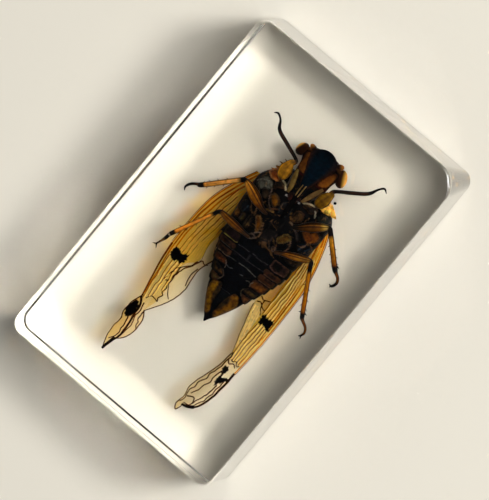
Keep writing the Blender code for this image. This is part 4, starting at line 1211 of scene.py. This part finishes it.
def wing_film(stations, dyes, below, spots):
    """A thin closed sheet through the stations, with its dyes."""
    rows = flowing(stations, FILM_ROWS)
    count = FILM_COLUMNS
    shares = np.linspace(0.0, 1.0, count)
    u = (rows[:, 1:2] + (rows[:, 2:3] - rows[:, 1:2]) * shares).ravel()
    v = np.repeat(rows[:, 0], count)
    share = np.tile(shares, len(rows))[:, None]
    z = np.array([wing_height(*place) for place in zip(u, v)]) - below
    stops = np.array([(at, *front, *hind) for at, front, hind in dyes])
    film = np.column_stack([np.interp(v, stops[:, 0], stops[:, k]) for k in range(1, 7)])
    tints = film[:, 0:3] * (1.0 - share) + film[:, 3:6] * share
    for spot in spots:
        depth = depth_in(flowing(spot, count=70, closed=True), u, v) + waver(u, v, *SPOT_WAVER)
        tints += (np.array(SPOT_DYE) - tints) * eased(depth, -SPOT_EDGE, SPOT_EDGE)[:, None]
    points = np.vstack([np.column_stack([u, v, z + half]) for half in (FILM / 2.0, -FILM / 2.0)])
    size = len(u)
    faces = []
    for i in range(len(rows) - 1):
        for k in range(count - 1):
            a, b, c, d = i * count + k, i * count + k + 1, (i + 1) * count + k + 1, (i + 1) * count + k
            faces.append((a, b, c, d))
            faces.append((size + d, size + c, size + b, size + a))
    edge = list(range(count))
    edge += [i * count + count - 1 for i in range(1, len(rows))]
    edge += [(len(rows) - 1) * count + k for k in range(count - 2, -1, -1)]
    edge += [i * count for i in range(len(rows) - 2, 0, -1)]
    for near, far in zip(edge, edge[1:] + edge[:1]):
        faces.append((near, far, size + far, size + near))
    return points, faces, np.vstack([tints, tints])


def film_group():
    """The dye of a piece, faintly clouded between its darkest and its lightest share."""
    group, given, result = new_group(
        "film", {"Tint": "Color", "Darkest": "Float", "Lightest": "Float"}, {"Color": "Color"})
    clouds = clouds_over(group, scale=1300.0, detail=6.0, distortion=1.2)
    swing = stretched(group, clouds, CLOUD_LOW, CLOUD_HIGH)
    group.links.new(given["Darkest"], swing.inputs["To Min"])
    group.links.new(given["Lightest"], swing.inputs["To Max"])
    group.links.new(times(group, given["Tint"], swing.outputs["Result"]), result["Color"])
    return group


FILM_GROUP = film_group()


def film_material(name, darkest, lightest):
    """Clear amber film, faintly cloudy, that dyes the light that comes through it."""
    material = bpy.data.materials.new(name)
    shader = shader_of(material)
    shader.inputs["Transmission Weight"].default_value = FILM_CLEARNESS
    shader.inputs["IOR"].default_value = FILM_IOR
    shader.inputs["Roughness"].default_value = 0.0
    nodes, links = material.node_tree.nodes, material.node_tree.links
    tint = nodes.new("ShaderNodeAttribute")
    tint.attribute_name = "tint"
    film = nodes.new("ShaderNodeGroup")
    film.node_tree = FILM_GROUP
    film.inputs["Darkest"].default_value = darkest
    film.inputs["Lightest"].default_value = lightest
    links.new(tint.outputs["Color"], film.inputs["Tint"])
    links.new(film.outputs["Color"], shader.inputs["Base Color"])
    return material


film_finish = film_material("wing_film", darkest=0.97, lightest=1.0)
left_forewing = wing_film(LEFT_FOREWING, LEFT_FORE_DYES, below=0.0, spots=SPOTS[:LEFT_SPOTS])
right_forewing = wing_film(RIGHT_FOREWING, RIGHT_FORE_DYES, below=0.0, spots=SPOTS[LEFT_SPOTS:])
insect_piece("cicada_forewings", [left_forewing, right_forewing], film_finish)
left_hindwing = wing_film(LEFT_HINDWING, LEFT_HIND_DYES, below=HIND_BELOW, spots=())
right_hindwing = wing_film(RIGHT_HINDWING, RIGHT_HIND_DYES, below=HIND_BELOW, spots=())
insect_piece("cicada_hindwings", [left_hindwing, right_hindwing], film_finish)


# Wing veins. Tubes of thick cuticle that stiffen the films: stout rods along the front edge,
# fine lines along the wing, and wavy cross veins near the tips. The film's own dry creases run
# beside the fine lines and over the hind wing, and are a piece of their own. The broad pale ones
# over the right hind wing are widened into a painted glow of light scattered in the film.
TUBE_SIDES = 8
RIPPLES = 500.0
STEPS_PER_POINT = 9
VEIN_TAPER = 0.3
# radius at the root, sway from side to side and dye
VEIN_KINDS = {
    "rod": (0.18, 0.1, dye(246, 170, 56)),
    "brown_rod": (0.2, 0.1, dye(176, 98, 30)),
    "edge": (0.07, 0.1, dye(140, 86, 36)),
    "line": (0.09, 0.6, dye(204, 128, 38)),
    "faint": (0.06, 0.4, dye(180, 124, 50)),
    "cross": (0.14, 1.3, dye(136, 84, 36)),
    "hem": (0.13, 0.4, dye(140, 88, 38)),
    "dark": (0.24, 0.5, dye(84, 48, 20)),
    "dark_tip": (0.34, 0.3, dye(44, 22, 8)),
    "pale_fold": (0.16, 0.6, dye(255, 224, 128)),
    # broad pale folds: creases of the film, partly a painted glow of light scattered in it
    "broad_glowing_fold": (0.26, 0.4, dye(255, 222, 138)),
    "dull_fold": (0.12, 0.6, dye(240, 186, 80)),
    "gold_fold": (0.09, 0.6, dye(240, 192, 90)),
}
# kind, path
VEINS = (
    ("edge", ((-9.0, 8.6), (-10.85, 5.0), (-12.35, 1.3), (-13.15, -2.0), (-13.65, -7.5), (-13.75, -11.4))),
    ("rod", ((-8.8, 8.5), (-10.6, 4.9), (-12.1, 1.2), (-12.9, -2.1), (-13.4, -7.5), (-13.5, -11.9))),
    ("brown_rod", ((-13.5, -11.6), (-13.2, -15.6), (-12.6, -19.4), (-12.0, -23.1))),
    ("rod", ((-8.3, 8.4), (-10.0, 4.7), (-11.6, 0.5), (-12.5, -3.5), (-13.0, -8.2), (-13.0, -12.9),
             (-12.5, -17.3), (-12.0, -22.4))),
    ("rod", ((-7.8, 7.8), (-9.8, 3.5), (-11.1, -0.1), (-11.9, -4.2), (-12.5, -8.2), (-12.5, -11.9))),
    ("line", ((-9.7, 3.8), (-10.8, -1.5), (-11.5, -6.9), (-11.7, -11.9))),
    ("line", ((-9.1, 2.5), (-10.2, -2.9), (-10.9, -7.6), (-11.0, -12.2))),
    ("line", ((-8.5, 1.8), (-9.5, -4.2), (-10.2, -8.9), (-10.2, -11.9))),
    ("faint", ((-8.0, 1.1), (-8.7, -4.3), (-9.5, -9.0), (-9.7, -11.9))),
    ("faint", ((-7.5, -1.6), (-8.0, -5.7), (-7.8, -9.0), (-7.3, -11.3))),
    ("faint", ((-7.5, -1.9), (-7.3, -5.0), (-6.7, -7.7), (-5.6, -9.9))),
    ("line", ((-12.6, -13.8), (-12.4, -16.3), (-12.1, -19.7), (-11.7, -23.1))),
    ("line", ((-11.6, -14.2), (-11.4, -17.0), (-11.3, -20.1), (-11.1, -22.3))),
    ("line", ((-10.8, -13.9), (-10.8, -17.4), (-10.6, -21.8))),
    ("line", ((-10.1, -13.8), (-10.1, -16.7), (-9.8, -20.1))),
    ("cross", ((-9.6, -14.4), (-9.5, -16.3), (-9.9, -18.1), (-9.3, -19.1), (-9.5, -20.1), (-8.9, -20.8),
               (-9.4, -21.4), (-9.1, -22.2), (-10.0, -21.9), (-10.6, -21.8), (-11.2, -22.9))),
    ("cross", ((-10.1, -15.6), (-10.6, -18.1), (-9.8, -17.6))),
    ("cross", ((-7.5, -11.4), (-7.1, -11.1), (-6.5, -11.4), (-5.8, -11.2))),
    ("hem", ((-5.6, -9.9), (-6.1, -11.2), (-6.6, -12.6), (-6.7, -14.6), (-6.4, -17.3), (-6.9, -19.4),
             (-7.7, -21.4), (-8.8, -23.2), (-10.1, -25.1))),
    ("cross", ((-7.3, -11.4), (-8.1, -12.8), (-8.9, -14.5), (-9.4, -16.4), (-9.2, -18.4), (-8.6, -19.8),
               (-7.8, -20.6))),
    ("cross", ((-7.7, -11.7), (-8.6, -13.4), (-9.6, -14.5), (-10.2, -15.4))),
    ("cross", ((-6.9, -12.8), (-7.1, -14.6), (-6.8, -16.8))),
    ("dark", ((-12.0, -23.1), (-11.3, -24.5), (-11.1, -26.5), (-10.9, -29.2), (-11.0, -31.8),
              (-11.6, -33.5), (-12.0, -35.3))),
    ("dark_tip", ((-11.3, -32.3), (-11.7, -33.6), (-12.0, -35.3))),
    ("cross", ((-10.9, -23.8), (-10.6, -26.5), (-10.6, -29.2), (-10.8, -31.6))),
    ("hem", ((-11.9, -22.6), (-12.4, -23.8), (-12.9, -25.2), (-13.0, -27.3), (-12.6, -28.6), (-12.8, -30.7),
             (-12.7, -32.8), (-12.0, -35.3))),
    ("cross", ((-11.8, -27.5), (-11.4, -29.2), (-11.5, -31.6), (-12.2, -33.1))),
    ("hem", ((-10.1, -24.9), (-9.4, -26.2), (-9.1, -27.9), (-9.2, -29.4), (-10.0, -31.2), (-11.1, -32.4))),
    ("cross", ((-10.0, -25.2), (-9.9, -27.1), (-9.6, -27.5), (-9.2, -28.8))),
    ("edge", ((8.3, 8.1), (9.35, 6.0), (10.25, 2.9), (11.05, -0.5), (11.55, -4.5), (11.55, -9.6),
              (11.45, -15.0), (11.15, -19.7), (10.75, -23.9))),
    ("edge", ((9.85, 1.6), (10.45, -2.2), (10.65, -5.5), (10.75, -9.6), (10.7, -15.0), (10.35, -20.0))),
    ("edge", ((-10.4, 3.6), (-11.8, -0.2), (-12.75, -4.2), (-13.0, -8.0), (-13.0, -11.6))),
    ("rod", ((8.1, 8.0), (9.1, 5.9), (10.0, 2.9), (10.8, -0.5), (11.3, -4.5), (11.3, -9.6), (11.2, -15.0),
             (10.9, -19.7), (10.5, -23.9))),
    ("rod", ((7.8, 7.6), (8.8, 5.3), (9.5, 2.4), (10.2, -1.2), (10.6, -5.2), (10.7, -10.3), (10.6, -16.3),
             (10.2, -22.4))),
    ("rod", ((7.8, 6.5), (8.5, 3.6), (9.1, 0.6), (9.8, -2.5), (10.2, -5.5), (10.3, -9.6), (10.4, -11.7))),
    ("pale_fold", ((7.9, 4.8), (8.6, 1.8), (9.3, -1.2), (9.65, -4.0))),
    ("pale_fold", ((9.0, 4.6), (9.75, 1.2), (10.4, -3.0), (10.5, -8.0))),
    ("line", ((8.0, 0.7), (8.0, -3.4), (7.8, -8.2), (7.8, -11.8))),
    ("line", ((8.4, 0.6), (8.7, -3.5), (8.6, -8.2), (8.5, -11.8))),
    ("line", ((8.8, 0.3), (9.2, -3.8), (9.2, -8.2), (9.2, -12.0))),
    ("line", ((9.3, -0.1), (9.7, -4.2), (9.8, -8.2), (9.8, -11.8))),
    # the next four broad pale folds are creases widened into a painted glow of light in the hind film
    ("broad_glowing_fold", ((5.6, -11.4), (6.2, -14.0), (6.9, -17.0), (7.6, -19.8))),
    ("broad_glowing_fold", ((6.1, -11.3), (6.7, -13.8), (7.2, -16.2), (7.6, -18.2))),
    ("broad_glowing_fold", ((6.6, -11.6), (7.1, -13.9), (7.5, -15.9))),
    ("broad_glowing_fold", ((7.1, -11.9), (7.5, -13.7))),
    ("cross", ((5.6, -9.4), (6.5, -9.8), (7.6, -9.2))),
    ("cross", ((5.5, -10.7), (6.2, -10.6), (6.9, -10.9), (7.7, -11.2))),
    ("cross", ((6.6, -9.8), (6.8, -10.8), (7.6, -12.4))),
    ("faint", ((5.2, -11.4), (5.9, -14.5), (6.7, -17.6), (7.7, -21.1))),
    ("faint", ((5.5, -11.5), (6.6, -13.7), (7.4, -16.2), (7.5, -18.9))),
    ("line", ((8.2, -13.9), (8.0, -16.9), (7.9, -20.0), (8.1, -22.1))),
    ("line", ((8.8, -13.6), (8.6, -16.9), (8.5, -20.0), (8.6, -22.1))),
    ("line", ((9.4, -13.6), (9.2, -17.3), (9.0, -20.3), (9.0, -22.2))),
    ("line", ((9.9, -13.9), (9.8, -17.7), (9.6, -20.4), (9.6, -22.1))),
    ("line", ((10.4, -13.9), (10.3, -18.4), (10.0, -22.1))),
    ("cross", ((7.8, -20.9), (8.2, -21.8), (8.9, -22.3), (9.5, -21.9), (10.0, -22.6), (10.4, -22.2))),
    ("cross", ((8.1, -21.6), (8.0, -22.4), (8.7, -22.9), (9.4, -22.6), (9.9, -23.0))),
    ("dark", ((10.5, -23.8), (10.3, -26.5), (9.9, -29.5), (9.3, -31.7), (8.4, -33.3), (7.2, -34.1),
              (6.1, -34.4))),
    ("dark", ((8.7, -24.4), (8.8, -26.2))),
    ("dark_tip", ((8.3, -33.4), (7.4, -34.0), (6.4, -34.3))),
    ("dark_tip", ((10.3, -25.6), (9.7, -25.9), (9.2, -26.0))),
    ("cross", ((9.8, -25.8), (9.6, -28.8), (8.9, -31.5), (8.0, -33.4))),
    ("cross", ((7.9, -22.3), (7.4, -25.0), (6.9, -26.5), (6.8, -27.9), (6.2, -29.1), (6.0, -30.4),
               (5.6, -31.9), (5.8, -33.1), (5.5, -34.1))),
    ("cross", ((8.3, -24.9), (7.8, -26.7), (7.7, -28.0), (7.1, -29.1), (6.8, -30.4), (6.2, -31.8))),
    ("cross", ((9.2, -27.6), (8.9, -29.3), (8.4, -30.5), (8.1, -31.8), (7.6, -33.2))),
    ("hem", ((7.7, -21.2), (7.2, -24.2), (6.4, -27.0), (5.5, -29.5), (5.2, -31.2), (5.5, -32.8),
             (5.2, -34.2))),
    ("cross", ((5.9, -32.6), (6.9, -32.2), (7.6, -32.9), (7.2, -33.7), (6.2, -33.9))),
    ("hem", ((5.3, -33.9), (5.2, -35.0), (5.7, -35.8), (6.2, -35.0), (6.2, -34.1))),
)
FOLD_BESIDE = 0.24
# where fine crinkles run along the left front wing, as shares of its width from the front edge
CRINKLES = (0.42, 0.5, 0.57, 0.64, 0.71, 0.78, 0.85, 0.92)
CRINKLE_STATIONS = 6
# a vein sways in full from a quarter of its length off each end
SWAY_GROWTH = 4.0


def lines_on_wings(name, paths):
    """Bare lines on the wings, each point with its tube's radius, sway and dye."""
    points, edges, radii, sways, colors = [], [], [], [], []
    for kind, path in paths:
        radius, sway, color = VEIN_KINDS[kind]
        count = STEPS_PER_POINT * len(path)
        start = len(points)
        for i, (u, v) in enumerate(flowing(path, count)):
            points.append((u, v, wing_height(u, v)))
            radii.append(radius * MM * (1.0 - VEIN_TAPER * i / count))
            from_ends = (SWAY_GROWTH * i / count, SWAY_GROWTH * (count - 1 - i) / count)
            sways.append(sway * MM * min(1.0, *from_ends))
            colors.append((*color, 1.0))
        edges += [(i, i + 1) for i in range(start, start + count - 1)]
    mesh = bpy.data.meshes.new(name)
    mesh.from_pydata(points, edges, [])
    mesh.transform(INSECT_FRAME)
    mesh.attributes.new("thickness", "FLOAT", "POINT").data.foreach_set("value", radii)
    mesh.attributes.new("sway", "FLOAT", "POINT").data.foreach_set("value", sways)
    tint = mesh.color_attributes.new("tint", "FLOAT_COLOR", "POINT")
    tint.data.foreach_set("color", np.array(colors).ravel())
    return placed(name, mesh)


def tubes_tree(material):
    """A tube of the point's own thickness along every line, swaying by the point's own amount."""
    tree = bpy.data.node_groups.new("tubes_along_lines", "GeometryNodeTree")
    tree.interface.new_socket("Lines", in_out="INPUT", socket_type="NodeSocketGeometry")
    sides = tree.interface.new_socket("Sides", in_out="INPUT", socket_type="NodeSocketInt")
    ripples = tree.interface.new_socket("Ripples", in_out="INPUT", socket_type="NodeSocketFloat")
    tree.interface.new_socket("Tubes", in_out="OUTPUT", socket_type="NodeSocketGeometry")
    nodes, links = tree.nodes, tree.links
    given = nodes.new("NodeGroupInput")
    result = nodes.new("NodeGroupOutput")
    ripple = nodes.new("ShaderNodeTexNoise")
    ripple.inputs["Detail"].default_value = 1.0
    centred = nodes.new("ShaderNodeVectorMath")
    centred.operation = "SUBTRACT"
    centred.inputs[1].default_value = (0.5, 0.5, 0.5)
    sway = nodes.new("GeometryNodeInputNamedAttribute")
    sway.data_type = "FLOAT"
    sway.inputs["Name"].default_value = "sway"
    moved = nodes.new("GeometryNodeSetPosition")
    curve = nodes.new("GeometryNodeMeshToCurve")
    thickness = nodes.new("GeometryNodeInputNamedAttribute")
    thickness.data_type = "FLOAT"
    thickness.inputs["Name"].default_value = "thickness"
    radius = nodes.new("GeometryNodeSetCurveRadius")
    circle = nodes.new("GeometryNodeCurvePrimitiveCircle")
    circle.inputs["Radius"].default_value = 1.0
    sweep = nodes.new("GeometryNodeCurveToMesh")
    sweep.inputs["Fill Caps"].default_value = True
    smooth = nodes.new("GeometryNodeSetShadeSmooth")
    realize = nodes.new("GeometryNodeRealizeInstances")
    finish = nodes.new("GeometryNodeSetMaterial")
    finish.inputs["Material"].default_value = material
    links.new(given.outputs["Ripples"], ripple.inputs["Scale"])
    links.new(ripple.outputs["Color"], centred.inputs[0])
    links.new(given.outputs["Lines"], moved.inputs["Geometry"])
    links.new(times(tree, centred.outputs["Vector"], sway.outputs["Attribute"]), moved.inputs["Offset"])
    links.new(moved.outputs["Geometry"], curve.inputs["Mesh"])
    links.new(curve.outputs["Curve"], radius.inputs["Curve"])
    links.new(thickness.outputs["Attribute"], radius.inputs["Radius"])
    links.new(given.outputs["Sides"], circle.inputs["Resolution"])
    links.new(radius.outputs["Curve"], sweep.inputs["Curve"])
    links.new(circle.outputs["Curve"], sweep.inputs["Profile Curve"])
    links.new(thickness.outputs["Attribute"], sweep.inputs["Scale"])
    links.new(sweep.outputs["Mesh"], smooth.inputs["Geometry"])
    links.new(smooth.outputs["Geometry"], realize.inputs["Geometry"])
    links.new(realize.outputs["Geometry"], finish.inputs["Geometry"])
    links.new(finish.outputs["Geometry"], result.inputs["Tubes"])
    return tree, sides.identifier, ripples.identifier


def grown(name, seed_item, tree, values):
    """The result of a node tree on a piece, as a plain mesh piece of its own."""
    modifier = seed_item.modifiers.new(tree.name, "NODES")
    modifier.node_group = tree
    for identifier, value in values.items():
        modifier[identifier] = value
    scene_now = bpy.context.evaluated_depsgraph_get()
    mesh = bpy.data.meshes.new_from_object(seed_item.evaluated_get(scene_now), depsgraph=scene_now)
    seed_item.modifiers.remove(modifier)
    bpy.data.objects.remove(seed_item)
    mesh.name = name
    return placed(name, mesh)


# beside each fine line runs a pale fold of the film, duller where the left wing lies double
folds = []
for kind, path in VEINS:
    if kind == "line":
        double = path[0][0] < 0.0 < path[0][1]
        folds.append(("dull_fold" if double else "pale_fold", [(u + FOLD_BESIDE, v) for u, v in path]))
for share in CRINKLES:
    crinkle = [(front + (hind - front) * share, v) for v, front, hind in LEFT_FOREWING[:CRINKLE_STATIONS]]
    folds.append(("gold_fold", crinkle))
folds += [(kind, path) for kind, path in VEINS if kind.endswith("fold")]
veins = [(kind, path) for kind, path in VEINS if not kind.endswith("fold")]
vein_finish = film_material("vein_cuticle", darkest=0.75, lightest=1.0)
fold_finish = cuticle_material("crinkled_film", mottle=0.2, grain=3000.0, relief=0.2, gloss=0.05)
for name, paths, finish in (
        ("cicada_wing_veins", veins, vein_finish), ("cicada_wing_folds", folds, fold_finish)):
    tree, sides, ripples = tubes_tree(finish)
    piece = grown(name, lines_on_wings(name + "_lines", paths), tree, {sides: TUBE_SIDES, ripples: RIPPLES})
    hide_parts("cicada")
    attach(piece, "root")
